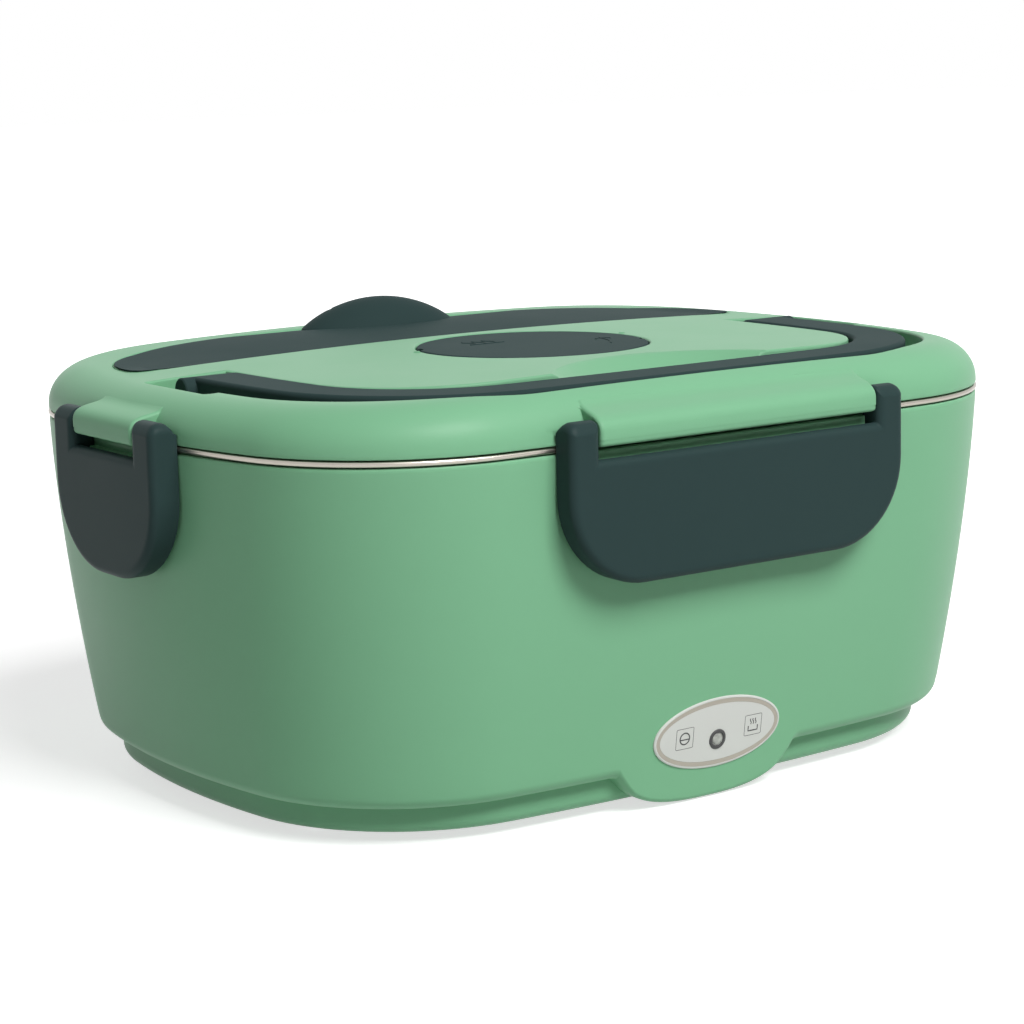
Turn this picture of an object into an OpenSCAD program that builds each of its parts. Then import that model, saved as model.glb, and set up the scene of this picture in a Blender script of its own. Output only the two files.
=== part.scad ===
// Electric lunch box: a heated base, a lift-out steel container and a lid held by four clip latches.
// Millimetres. +Z up, the table at Z 0, the origin under the middle of the body.
// The badge side faces -Y, the long sides run along X.

/* [Body] */
// Length of the body at its rim, over the middle of the short sides
body_l = 236; // [190:1:290]
// Width of the body at its rim, over the middle of the long sides
body_w = 182; // [150:1:230]
// Height of the steel rim's bead above the table
rim_z = 94.9; // [80:0.1:120]
// Height of the lower edge of the outer shell
shell_z = 10.2; // [9:0.1:14]
// How far the outer shell draws in from its rim to its lower edge
taper = 7.8; // [4:0.1:10]
// Corner radius of the body at the rim
corner_r = 49.5; // [40:0.5:60]
// Radius of the slight bow of the long sides at the rim
long_bow_r = 1800; // [900:50:2400]
// Radius of the bow of the long sides at the lower edge
long_bow_low_r = 740; // [600:20:1200]
// Radius of the bow of the short sides
short_bow_r = 218; // [180:2:400]
// Wall of the outer shell
shell_t = 2.2; // [1.6:0.1:2.6]

/* [Base] */
// Height of the base cover's underside above the table
base_z = 2.6; // [2:0.1:4]
// Inset of the base cover's band from the rim outline
base_inset = 13; // [12:0.1:15]
// Wall of the base cover
base_t = 2; // [1.6:0.1:2.6]
// Radius of a rubber foot
foot_r = 7; // [5:0.5:9]
// Distance of the feet from the middle, along X
foot_x = 70; // [55:1:78]
// Distance of the feet from the middle, along Y
foot_y = 50; // [38:1:54]
// Half width of the lobe that carries the badge
lobe_w = 27; // [24:0.5:32]
// Height of the lobe's lower edge above the table
lobe_z = 0.8; // [0.6:0.1:2]

/* [Badge] */
// Half length of the oval badge
badge_a = 20.6; // [16:0.1:22]
// Half height of the oval badge
badge_b = 8.7; // [7:0.1:9]
// Height of the badge's centre above the table
badge_z = 17.6; // [16:0.1:20]
// Thickness of the badge plate
badge_t = 1.2; // [0.8:0.1:1.4]
// Radius of the indicator lens
lens_r = 2.2; // [1.6:0.1:2.6]

/* [Container] */
// Sheet thickness of the steel container
steel_t = 0.6; // [0.5:0.1:1]
// Width of the container's flat lip, from the rim to the wall
lip_w = 7.2; // [6.6:0.1:9]
// Height of the container's underside above the table
pot_z = 29.3; // [28:0.1:36]
// Draw-in of the container's wall from lip to bottom
pot_draft = 9.5; // [5:0.5:11]
// Corner round between the container's wall and bottom
pot_round = 6; // [4:0.5:8]
// Radius of the rolled bead round the lip
bead_r = 0.7; // [0.6:0.05:0.9]

/* [Heater] */
// Half length of the heating plate's raised pad
pad_x = 75; // [55:1:78]
// Half width of the heating plate's raised pad
pad_y = 50; // [40:1:52]
// Corner radius of the pad
pad_r = 18; // [12:1:22]
// Length of the flat heating element
ptc_l = 70; // [50:1:90]
// Width of the flat heating element
ptc_w = 34; // [24:1:44]

/* [Lid] */
// Height of the flat top of the lid above the rim's bead
lid_h = 14.1; // [13.6:0.1:18]
// Radius of the round between the lid's side and top
lid_round = 12; // [10:0.5:13]
// Wall of the lid
lid_t = 2.2; // [1.8:0.1:2.6]
// Half length of the raised panel inside the handle
panel_x = 82.5; // [66:0.5:84]
// Front edge of the raised panel, from the middle
panel_y = 65.5; // [52:0.5:67]
// Corner radius of the raised panel
panel_r = 34; // [24:1:40]
// Half length of the handle's recess
recess_x = 103; // [100:0.5:104]
// Front wall of the handle's recess, from the middle
recess_y = 84; // [82:0.5:85]
// Back wall of the handle's recess
recess_back = 10.3; // [8:0.1:12]
// Depth of the handle's recess
recess_d = 7.6; // [7.3:0.1:8]

/* [Handle] */
// Width of the handle's arms and bar
handle_w = 14.2; // [10:0.1:16]
// Thickness of the handle
handle_t = 6.4; // [5:0.1:6.6]
// Distance of the handle's hinge axis behind the middle
handle_y = 2; // [0:0.1:4]
// Radius of the handle's hinge stubs
stub_r = 2; // [1.5:0.1:2.4]

/* [Latches] */
// Length of the front and back latches
latch_l = 104; // [80:1:120]
// Length of the left and right latches
latch_s = 53; // [44:1:64]
// Width of one ear on the long latches
ear_l = 8.5; // [6:0.5:12]
// Width of one ear on the short latches
ear_s = 10.5; // [6:0.5:12]
// How far a latch reaches down below the rim's bead
latch_drop = 33.4; // [28:0.1:42]
// Radius of a latch's lower corners
latch_r = 22; // [14:1:25]
// How far a latch's face stands out from the rim outline
latch_out = 6; // [5.6:0.1:8]
// Wall of a latch
latch_t = 2.2; // [1.8:0.1:2.4]
// Radius of a latch's ears about the hinge axis
ear_r = 3.3; // [3:0.1:3.4]
// Radius of the hinge pegs of a latch
peg_r = 1.5; // [1:0.1:1.8]

/* [Cutlery cover and vent] */
// Half length of the cutlery cover
cover_x = 101; // [80:0.5:102]
// Front edge of the cutlery cover
cover_y = 27.5; // [26:0.5:34]
// Back edge of the cutlery cover
cover_back = 71; // [62:0.5:73]
// How far along X the rounding of the cover's back corners runs
cover_r = 50; // [34:1:60]
// Thickness of the cutlery cover
cover_t = 2; // [1.6:0.1:2.2]
// Half length of the cover's domed finger lift
dome_a = 27; // [20:0.5:30]
// Height of the finger lift above the cover
dome_h = 7.6; // [5:0.1:9]
// Radius of the round vent disc
disc_r = 31; // [24:0.5:32]
// Distance of the vent disc's centre in front of the middle
disc_y = 9; // [6:0.5:12]

/* [Power inlet] */
// Radius of an inlet pin
pin_r = 1.2; // [1.2:0.05:1.2]
// Distance between the two inlet pins
pin_pitch = 8.6; // [8.6:0.1:8.6]
// Height of the inlet's centre above the table
inlet_z = 18.5; // [18:0.1:19]

/* [Hidden] */

// Running clearance of a stub or peg in its hole, on the radius
run_c = 0.05;
// Gap left between pieces that lie against each other or move past each other
gap = 0.3;
a0 = body_l / 2;
b0 = body_w / 2;
lid_top = rim_z + lid_h;
latch_z = rim_z - latch_drop;
taper_power = 1.6;
corner_gain = 10;
side_n = 3;
long_n = 3;
corner_n = 9;
round_n = 4;

green = [0.53, 0.77, 0.60];
slate = [0.17, 0.24, 0.25];
steel = [0.78, 0.78, 0.76];
alu = [0.80, 0.81, 0.82];
white = [0.92, 0.92, 0.90];
black = [0.08, 0.08, 0.08];
brass = [0.80, 0.68, 0.40];
rubber = [0.14, 0.15, 0.15];

// ---- outlines and lofts -------------------------------------------------------------------

function polar(c, r, a) = c + r * [cos(a), sin(a)];

// Centre of the corner arc that touches a long bowed side (radius rl) and a short one (radius rs)
function corner_centre(a, b, rl, rs, rc) =
    let (c1 = [0, rl - b], c2 = [rs - a, 0], r1 = rl - rc, r2 = rs - rc, d = norm(c2 - c1),
         k = (r1 * r1 - r2 * r2 + d * d) / (2 * d), h = sqrt(max(0, r1 * r1 - k * k)),
         u = (c2 - c1) / d, w = [-u.y, u.x], p = c1 + k * u, q1 = p + h * w, q2 = p - h * w)
    q1.x + q1.y < q2.x + q2.y ? q1 : q2;

// A quarter of the outline, from the middle of the left side to the middle of the front
function quarter(a, b, rl, rs, rc, inset) =
    let (c = corner_centre(a, b, rl, rs, rc), c1 = [0, rl - b], c2 = [rs - a, 0],
         t1 = atan2(c.y - c1.y, c.x - c1.x), t2 = atan2(c.y - c2.y, c.x - c2.x))
    concat([for (i = [0 : side_n - 1]) polar(c2, rs - inset, -180 + (t2 + 180) * i / side_n)],
           [for (i = [0 : corner_n]) polar(c, rc - inset, t2 + (t1 - t2) * i / corner_n)],
           [for (i = [1 : long_n]) polar(c1, rl - inset, t1 + (-90 - t1) * i / long_n)]);

// The whole outline: four bowed sides and four round corners, moved in by inset
function outline(a, b, rl, rs, rc, inset = 0) =
    let (q = quarter(a, b, rl, rs, rc, inset), n = len(q))
    concat(q, [for (i = [n - 2 : -1 : 0]) [-q[i].x, q[i].y]],
           [for (i = [1 : n - 1]) [-q[i].x, -q[i].y]], [for (i = [n - 2 : -1 : 1]) [q[i].x, -q[i].y]]);

function depth(z) = max(0, (rim_z - z) / (rim_z - shell_z));
function draw_in(z) = taper * pow(depth(z), taper_power);
function bow(z) = 1 / (1 / long_bow_r + (1 / long_bow_low_r - 1 / long_bow_r) * min(1, depth(z)));
function body_corner(z) = corner_r + corner_gain * min(1, depth(z));

// One level of the body: its outline at height z, moved in by inset from the rim outline
function level(z, inset) =
    [for (p = outline(a0, b0, bow(z), short_bow_r, body_corner(z), inset)) [p.x, p.y, z]];
// The same, measured from the tapered face of the outer shell
function wall_level(z, inset) = level(z, draw_in(z) + inset);
// One level of the lid, whose outline doesn't taper
function rim_level(z, inset) =
    [for (p = outline(a0, b0, long_bow_r, short_bow_r, corner_r, inset)) [p.x, p.y, z]];

function side_faces(n, j, k) =
    [for (i = [0 : n - 1]) let (i2 = (i + 1) % n) each
        [[j * n + i, k * n + i, k * n + i2], [j * n + i, k * n + i2, j * n + i2]]];

// A solid through a list of levels, closed by a flat face at each end
module loft(rings) {
    n = len(rings[0]);
    m = len(rings);
    polyhedron(points = [for (r = rings) each r],
        faces = concat([[for (i = [0 : n - 1]) i]], [for (j = [0 : m - 2]) each side_faces(n, j, j + 1)],
                       [[for (i = [n - 1 : -1 : 0]) (m - 1) * n + i]]), convexity = 6);
}

// A ring-shaped solid: the last level joins the first
module loft_ring(rings) {
    n = len(rings[0]);
    m = len(rings);
    polyhedron(points = [for (r = rings) each r],
        faces = [for (j = [0 : m - 1]) each side_faces(n, j, (j + 1) % m)], convexity = 6);
}

module rounded_box(x, y, r, h) {
    linear_extrude(h) {
        square([2 * (x - r), 2 * y], center = true);
        square([2 * x, 2 * (y - r)], center = true);
        for (sx = [-1, 1]) for (sy = [-1, 1]) translate([sx * (x - r), sy * (y - r)]) circle(r, $fn = 48);
    }
}

module at_corners(x, y) {
    for (sx = [-1, 1]) for (sy = [-1, 1]) translate([sx * x, sy * y, 0]) children();
}

// A pan-head screw, pointing up from the plane under its head
module screw(len, r, head_r, head_h) {
    translate([0, 0, -head_h]) difference() {
        cylinder(r = head_r, h = head_h, $fn = 32);
        for (a = [0, 90]) rotate(a) translate([-head_r * 0.6, -0.4, -1]) cube([head_r * 1.2, 0.8, 2]);
    }
    translate([0, 0, -0.01]) cylinder(r = r, h = len + 0.01, $fn = 24);
}

// A wire of radius r swept along chosen points, with a ring at each point
module wire(path, r) {
    n = len(path);
    k = 8;
    dir = [for (i = [0 : n - 1]) let (d = path[min(i + 1, n - 1)] - path[max(i - 1, 0)]) d / norm(d)];
    rings = [for (i = [0 : n - 1]) let (side = cross(dir[i], [0.13, 0.21, 0.97]), u = side / norm(side),
        v = cross(u, dir[i])) [for (j = [0 : k - 1]) path[i] + r * (cos(360 * j / k) * v + sin(360 * j / k) * u)]];
    loft(rings);
}

// Points of a wire: chosen corners, each leg cut into short steps and the corners eased
function steps(p, n) = [for (i = [0 : len(p) - 2]) for (j = [0 : n - 1]) p[i] + (p[i + 1] - p[i]) * j / n];
function eased(q) = [for (i = [0 : len(q) - 1]) i == 0 || i == len(q) - 1 ? q[i] : (q[i - 1] + 2 * q[i] + q[i + 1]) / 4];
function route(p, n) = eased(eased(eased(concat(steps(p, n), [p[len(p) - 1]]))));

// ---- base --------------------------------------------------------------------------------

shell_top = rim_z - 1;
shell_round = 4;
fillet_z = shell_z + shell_round;
lip_inset = base_inset - gap;
ledge_z = shell_top - 1.9;
ledge_in = shell_t + 2.2;
ledge_t = 1.8;
catch_top = rim_z - 0.3;
catch_z = rim_z - 4.4;
catch_out = 1.2;
catch_end = 1.5;
badge_tilt = atan(taper * taper_power * pow(depth(badge_z), taper_power - 1) / (rim_z - shell_z));
badge_y = -(b0 - draw_in(badge_z));
inlet_y = b0 - draw_in(inlet_z);
inlet_hx = 10;
inlet_hz = 5.8;
inlet_deep = 15;

module outer_shell_wall() {
    outside = concat(
        [level(shell_z, lip_inset), level(shell_z, draw_in(fillet_z) + shell_round)],
        [for (i = [1 : round_n - 1]) let (t = 90 * i / round_n)
            level(fillet_z - shell_round * cos(t), draw_in(fillet_z) + shell_round * (1 - sin(t)))],
        [for (z = [fillet_z, 24, 38, 52, 66, 80]) wall_level(z * (z < 20 ? 1 : rim_z / 94.9), 0)],
        [wall_level(shell_top, 0)]);
    inside = [wall_level(shell_top, shell_t), wall_level(ledge_z, shell_t), level(ledge_z, ledge_in),
        level(ledge_z - ledge_t, ledge_in), wall_level(ledge_z - ledge_t - 2, shell_t),
        wall_level(rim_z * 0.6, shell_t), wall_level(rim_z * 0.35, shell_t),
        wall_level(fillet_z + 2, shell_t), level(shell_z + shell_t, lip_inset)];
    loft_ring(concat(outside, inside));
}

// A catch under the rim that a latch's hook bar snaps below
module catch_bar(len, out) {
    low_in = catch_end;
    translate([-len / 2, -out - catch_out, catch_z]) cube([len, catch_out + low_in, shell_top - catch_z]);
    translate([-len / 2, -out - catch_out, shell_top - 0.01])
        cube([len, catch_out - 0.6, catch_top - shell_top + 0.01]);
}

module catches() {
    long_bar = latch_l - 2 * ear_l - 9;
    short_bar = latch_s - 2 * ear_s - 8;
    for (a = [0, 180]) rotate(a) catch_bar(long_bar, b0);
    for (a = [90, 270]) rotate(a) catch_bar(short_bar, a0);
}

// Places a shape that is drawn in the plane of the badge, its own +Z pointing out of the front
module on_badge() {
    translate([0, badge_y, badge_z]) rotate([90 + badge_tilt, 0, 0]) children();
}

lobe_in = 4.2;
lobe_h = (badge_z - lobe_z) / cos(badge_tilt);

// Half-oval tongue under the badge, rounded along its lower edge
module lobe() {
    on_badge() intersection() {
        translate([0, -badge_z + shell_z + 4, -lobe_in]) union() {
            h1 = lobe_h - (badge_z - shell_z) + 4;
            scale([1, h1 / lobe_w, 1]) cylinder(r = lobe_w, h = lobe_in - 1.6, $fn = 64);
            scale([1, h1 / lobe_w, 1]) translate([0, 0, lobe_in - 1.7])
                cylinder(r1 = lobe_w, r2 = lobe_w - 2.2, h = 1.7, $fn = 64);
        }
        translate([-60, -60, -lobe_in]) cube([120, 65, lobe_in + 1]);
    }
    on_badge() for (x = [-6.6, 6.6]) translate([x, lens_y, board_z + 0.1])
        cylinder(r = 1.2, h = -board_z - lobe_in + 0.9, $fn = 24);
}

module oval(a, b, h) {
    scale([1, b / a, 1]) cylinder(r = a, h = h, $fn = 64);
}

post_x = 90;
post_y = 40;
screw_r = 1.5;
pilot_r = 1.2;

module outer_shell() {
    color(green) difference() {
        union() {
            outer_shell_wall();
            catches();
            lobe();
        }
        on_badge() translate([0, 0, -badge_t - 0.1]) oval(badge_a + 0.15, badge_b + 0.15, 10);
        on_badge() translate([0, -1.9, -20]) cylinder(r = lens_r + 0.9, h = 30, $fn = 32);
        translate([-inlet_hx - 0.2, inlet_y - 12, inlet_z - inlet_hz - 0.2])
            cube([2 * inlet_hx + 0.4, 30, 2 * inlet_hz + 0.4]);
        translate([-inlet_hx - 1.8, inlet_face - inlet_flange - 0.1, inlet_z - inlet_hz - 1.6])
            cube([2 * inlet_hx + 3.6, 10, 2 * inlet_hz + 3.2]);
    }
}

plate_flange_z = pot_z - 7;
plate_flange_t = 2;
well_floor = plate_flange_z + plate_flange_t + gap;
well_floor_top = pot_z - 0.6;
well_t = 1.5;
flange_screw_x = pad_x - 1;
flange_screw_y = pad_y;

function pot_inset(z) = lip_w + pot_draft * (rim_z - z) / (rim_z - pot_z);

module heating_well() {
    top = shell_top;
    flange_t = 1.6;
    in_c = 0.6;
    outer = [level(well_floor, pot_inset(well_floor_top) + 3), level(well_floor + 3, pot_inset(well_floor + 3) - in_c - well_t),
        level(rim_z * 0.6, pot_inset(rim_z * 0.6) - in_c - well_t),
        level(top - flange_t, pot_inset(top) - in_c - well_t),
        level(top - flange_t, shell_t + gap + 0.2), level(top, shell_t + gap + 0.2)];
    inner = [level(top, pot_inset(top) - in_c), level(rim_z * 0.6, pot_inset(rim_z * 0.6) - in_c),
        level(well_floor_top + pot_round + 2, pot_inset(well_floor_top + pot_round + 2) - in_c)];
    heel = [for (i = [round_n : -1 : 0]) let (t = 90 * i / round_n)
        level(well_floor_top + pot_round * (1 - cos(t)), pot_inset(well_floor_top + pot_round) - in_c
            + pot_round * (1 - sin(t)))];
    color(white) difference() {
        union() {
            loft(concat(outer, inner, heel));
            at_corners(post_x, post_y) translate([0, 0, base_z + base_t + gap])
                cylinder(r = 4, h = well_floor - base_z - base_t, $fn = 32);
        }
        translate([0, 0, well_floor - 1]) rounded_box(pad_x + 0.4, pad_y + 0.4, pad_r + 0.4, 10);
        at_corners(flange_screw_x, flange_screw_y) translate([0, 0, well_floor - 1])
            cylinder(r = pilot_r, h = 4, $fn = 24);
        at_corners(post_x, post_y) translate([0, 0, base_z])
            cylinder(r = pilot_r, h = 14, $fn = 24);
    }
}

base_round = 3;
base_corner = 4;

module base_cover() {
    band_top = shell_z + shell_t - 0.4;
    b_level = function (z, inset) [for (p = outline(a0, b0, bow(shell_z), short_bow_r,
        body_corner(shell_z) + base_corner, inset)) [p.x, p.y, z]];
    outer = concat(
        [for (i = [0 : round_n]) let (t = 90 * i / round_n)
            b_level(base_z + base_round * (1 - cos(t)), base_inset + base_round * (1 - sin(t)))],
        [b_level(band_top, base_inset)]);
    inner = [b_level(band_top, base_inset + base_t), b_level(base_z + base_t + 1, base_inset + base_t),
        b_level(base_z + base_t, base_inset + base_t + 1)];
    color(green) difference() {
        union() {
            loft(concat(outer, inner));
            for (x = [-50, 0, 50]) translate([x - 1, -40, base_z + 1]) cube([2, 80, pad_low - base_z - 1 - gap]);
            for (y = [-40, 0, 40]) translate([-50, y - 1, base_z + 1]) cube([100, 2, pad_low - base_z - 1 - gap]);
        }
        at_corners(post_x, post_y) translate([0, 0, base_z - 1]) cylinder(r = screw_r + 0.2, h = 5, $fn = 24);
        at_corners(post_x, post_y) translate([0, 0, base_z - 0.01]) cylinder(r = 3.2, h = 1.1, $fn = 32);
        at_corners(foot_x, foot_y) translate([0, 0, base_z - 0.01]) cylinder(r = foot_r + 0.1, h = 0.8, $fn = 48);
    }
}

module rubber_feet() {
    color(rubber) at_corners(foot_x, foot_y) rotate_extrude($fn = 48)
        polygon([[0, 0.4], [foot_r - 2.6, 0.4], [foot_r - 2.2, 0], [foot_r - 0.8, 0], [foot_r, 0.8],
            [foot_r, base_z + 0.69], [0, base_z + 0.69]]);
}

module base_screws() {
    color(steel) at_corners(post_x, post_y) translate([0, 0, base_z + 1.09]) screw(10, 1.19, 2.9, 1);
}

// ---- heater ------------------------------------------------------------------------------

plate_t = 2.2;
plate_top = pot_z - gap;
pan_t = 2;
ptc_t = 6;
ptc_top = plate_top - plate_t - 0.2;
clamp_t = 1.2;
clamp_z = ptc_top - ptc_t - clamp_t - 0.1;
clamp_x = ptc_l / 2 + 10;
pad_low = 9.2;

module heating_plate() {
    color(alu) difference() {
        union() {
            translate([0, 0, plate_flange_z]) rounded_box(pad_x, pad_y, pad_r, plate_top - plate_flange_z);
            translate([0, 0, plate_flange_z]) rounded_box(pad_x + 8, pad_y + 8, pad_r - 2, plate_flange_t);
        }
        translate([0, 0, plate_flange_z - 1])
            rounded_box(pad_x - pan_t, pad_y - pan_t, pad_r - pan_t, plate_top - plate_t - plate_flange_z + 1);
        at_corners(flange_screw_x, flange_screw_y) translate([0, 0, plate_flange_z - 1])
            cylinder(r = screw_r + 0.1, h = 5, $fn = 24);
    }
    color(alu) for (s = [-1, 1]) translate([s * clamp_x, 0, 0]) difference() {
        translate([0, 0, clamp_z + clamp_t + 0.1]) cylinder(r = 4, h = plate_top - 0.5 - clamp_z - clamp_t, $fn = 32);
        translate([0, 0, clamp_z]) cylinder(r = pilot_r, h = 6, $fn = 24);
    }
}

module plate_screws() {
    color(steel) at_corners(flange_screw_x, flange_screw_y) translate([0, 0, plate_flange_z - 0.05])
        screw(5, 1.19, 2.8, 1.6);
}

module ptc_heater() {
    color(alu) difference() {
        translate([-ptc_l / 2, -ptc_w / 2, ptc_top - ptc_t]) cube([ptc_l, ptc_w, ptc_t]);
        for (y = [-ptc_w / 2 + 5 : 6 : ptc_w / 2 - 4]) translate([-ptc_l / 2 - 1, y - 0.6, ptc_top - ptc_t - 1])
            cube([ptc_l + 2, 1.2, 1.6]);
    }
    color(brass) for (y = [-6, 6]) translate([-ptc_l / 2 - 5, y - 1.5, ptc_top - 3.4]) cube([6, 3, 0.8]);
}

module heater_clamp() {
    color(steel) difference() {
        translate([-clamp_x - 6, -7, clamp_z]) cube([2 * clamp_x + 12, 14, clamp_t]);
        for (s = [-1, 1]) translate([s * clamp_x, 0, clamp_z - 1]) cylinder(r = screw_r + 0.1, h = 4, $fn = 24);
    }
}

module clamp_screws() {
    color(steel) for (s = [-1, 1]) translate([s * clamp_x, 0, clamp_z - 0.05]) screw(6, 1.19, 2.8, 1.6);
}

stat_x = -40;
stat_y = 33;
stat_r = 8;
fuse_x = 30;
fuse_y = 33;
fuse_l = 12;
fuse_r = 2;
fuse_z = plate_top - plate_t - fuse_r - 0.3;

module thermostat() {
    top = plate_top - plate_t - 0.2;
    color(black) translate([stat_x, stat_y, top - 8]) {
        translate([0, 0, 1]) cylinder(r = stat_r, h = 5.6, $fn = 48);
        translate([0, 0, 6.59]) cylinder(r = stat_r - 0.8, h = 1.41, $fn = 48);
    }
    color(brass) translate([stat_x, stat_y, top - 8]) for (s = [-1, 1])
        translate([s * 4.5 - 0.4, -3.1, -3]) cube([0.8, 6.2, 4.01]);
}

module thermal_fuse() {
    color(white) translate([fuse_x - fuse_l / 2, fuse_y, fuse_z]) rotate([0, 90, 0]) {
        cylinder(r = fuse_r, h = fuse_l, $fn = 32);
        translate([0, 0, -7]) cylinder(r = 0.5, h = fuse_l + 14, $fn = 16);
    }
}

module fuse_clip() {
    in_r = fuse_r + 0.05;
    color(steel) difference() {
        union() {
            translate([fuse_x - 3, fuse_y, fuse_z]) rotate([0, 90, 0]) cylinder(r = in_r + 0.8, h = 6, $fn = 32);
            translate([fuse_x - 3, fuse_y, fuse_z]) cube([6, 9, plate_top - plate_t - 0.1 - fuse_z]);
        }
        translate([fuse_x - 4, fuse_y, fuse_z]) rotate([0, 90, 0]) cylinder(r = in_r, h = 8, $fn = 32);
        translate([fuse_x - 4, fuse_y - 5, plate_top - plate_t - 0.1]) cube([8, 20, 4]);
        translate([fuse_x - 4, fuse_y + in_r + 0.8, fuse_z - 1]) cube([8, 20, plate_top - plate_t - 0.9 - fuse_z + 1]);
    }
}

module insulation_pad() {
    color([0.86, 0.84, 0.78]) translate([0, 0, pad_low]) rounded_box(66, 46, 6, 3);
}

// ---- power inlet and lamp ---------------------------------------------------------------------

inlet_flange = 1.5;
inlet_face = inlet_y + 1.2;
socket_deep = 11;
pin_len = 8.5;
tail_r = 1;
tail_len = 5;
inlet_back = inlet_face - inlet_deep;
pin_base = inlet_face - socket_deep;

module power_inlet() {
    color(black) difference() {
        union() {
            translate([-inlet_hx, inlet_back, inlet_z - inlet_hz]) cube([2 * inlet_hx, inlet_deep, 2 * inlet_hz]);
            translate([-inlet_hx - 1.6, inlet_face - inlet_flange, inlet_z - inlet_hz - 1.4])
                cube([2 * inlet_hx + 3.2, inlet_flange, 2 * inlet_hz + 2.8]);
        }
        for (s = [-1, 1]) translate([s * pin_pitch / 2, pin_base, inlet_z]) rotate([-90, 0, 0])
            cylinder(r = 4, h = socket_deep + 1, $fn = 48);
        translate([-pin_pitch / 2, pin_base, inlet_z - 3.5]) cube([pin_pitch, socket_deep + 1, 7]);
        for (s = [-1, 1]) translate([s * pin_pitch / 2, inlet_back - 1, inlet_z]) rotate([-90, 0, 0])
            cylinder(r = tail_r, h = inlet_deep, $fn = 32);
    }
}

module inlet_pins() {
    tip = 0.6;
    color(brass) for (s = [-1, 1]) translate([s * pin_pitch / 2, 0, inlet_z]) rotate([-90, 0, 0]) {
        translate([0, 0, inlet_back - tail_len]) cylinder(r = tail_r, h = pin_base - inlet_back + tail_len + 0.5, $fn = 32);
        translate([0, 0, pin_base]) cylinder(r = pin_r, h = pin_len - tip, $fn = 32);
        translate([0, 0, pin_base + pin_len - tip]) cylinder(r1 = pin_r, r2 = pin_r - 0.5, h = tip, $fn = 32);
    }
}

lens_y = -1.9;

module lamp_badge() {
    color(white) on_badge() difference() {
        union() {
            translate([0, 0, -badge_t]) oval(badge_a, badge_b, badge_t + 0.1);
            translate([0, 0, 0.05]) difference() {
                oval(badge_a, badge_b, 0.25);
                translate([0, 0, -1]) oval(badge_a - 1.6, badge_b - 1.4, 3);
            }
        }
        translate([0, lens_y, -5]) cylinder(r = lens_r + 0.05, h = 10, $fn = 32);
    }
}

module lamp_lens() {
    color([0.5, 0.52, 0.5]) on_badge() translate([0, lens_y, 0]) {
        translate([0, 0, -3]) cylinder(r = lens_r, h = 3.2, $fn = 32);
        intersection() {
            translate([0, 0, 0.15]) cylinder(r = lens_r, h = 2, $fn = 32);
            translate([0, 0, -3.4]) sphere(r = 4.2, $fn = 48);
        }
    }
}

led_r = 1.5;
board_z = -7.6;

module lamp_led() {
    color([0.95, 0.6, 0.3]) on_badge() translate([0, lens_y, 0]) {
        translate([0, 0, board_z + 0.05]) cylinder(r = led_r + 0.4, h = 1, $fn = 24);
        translate([0, 0, board_z + 0.9]) cylinder(r = led_r, h = 1.8, $fn = 24);
        translate([0, 0, board_z + 2.69]) intersection() {
            sphere(r = led_r, $fn = 32);
            translate([-3, -3, 0]) cube(6);
        }
    }
}

module lamp_board() {
    color([0.16, 0.4, 0.22]) on_badge() translate([-8, lens_y - 2.6, board_z - 1.2]) cube([16, 6.8, 1.2]);
    color(black) on_badge() for (x = [-4, 4]) translate([x - 1, lens_y - 0.6, board_z - 0.02]) cube([2, 1.2, 0.6]);
}

wire_r = 0.9;
lead_r = 0.6;
blade_z = plate_top - plate_t - 10;
tail_y = inlet_back - tail_len - 0.3;
lead_z = 13.4;
live_path = [[-pin_pitch / 2, tail_y, inlet_z], [-10, 56, 17], [-26, 50, 16.4], [stat_x + 4.5, stat_y + 10, blade_z],
    [stat_x + 4.5, stat_y + 3.4, blade_z]];
neutral_path = [[pin_pitch / 2, tail_y, inlet_z], [10, 57, 17], [30, 48, 17], [46, 42, 18.5], [48, 36, 22],
    [fuse_x + fuse_l / 2 + 7.3, fuse_y, fuse_z]];
heater_in = [[stat_x - 4.5, stat_y - 3.4, blade_z], [-46, 22, 17], [-47, 12, 21.5], [-45, 6.5, 23.6],
    [-ptc_l / 2 - 5.3, 6, ptc_top - 3]];
heater_out = [[-ptc_l / 2 - 5.3, -6, ptc_top - 3], [-46, -7, 23.4], [-50, -13, 19], [-44, -20, 16],
    [-16, -20, 15.8], [8, 0, 15.8], [12, 24, 17], [13, 33, 22], [fuse_x - fuse_l / 2 - 7.3, fuse_y, fuse_z]];
lamp_in = [[stat_x - 4.5, stat_y, plate_top - plate_t - 11.9], [stat_x - 4.5, 30, lead_z], [-36, 6, lead_z],
    [-12, -24, lead_z], [-5, -46, lead_z], [-5, -62, 15], [-5, badge_y + 9.8, badge_z - 0.6]];
lamp_out = [[pin_pitch / 2, tail_y + 2, inlet_z - tail_r - 0.3], [pin_pitch / 2, tail_y + 1, 14.5], [5, 54, lead_z],
    [5, 10, lead_z], [5, -46, lead_z], [5, -62, 15], [5, badge_y + 9.8, badge_z - 0.6]];

module wire_live() {
    color([0.45, 0.25, 0.15]) wire(route(live_path, 3), wire_r);
}

module wire_neutral() {
    color([0.2, 0.35, 0.7]) wire(route(neutral_path, 2), wire_r);
}

module heater_wires() {
    color([0.7, 0.2, 0.15]) {
        wire(route(heater_in, 2), wire_r);
        wire(route(heater_out, 2), wire_r);
    }
}

module lamp_leads() {
    color([0.8, 0.8, 0.8]) {
        wire(route(lamp_in, 2), lead_r);
        wire(route(lamp_out, 2), lead_r);
    }
}

// ---- container -----------------------------------------------------------------------------

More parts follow.
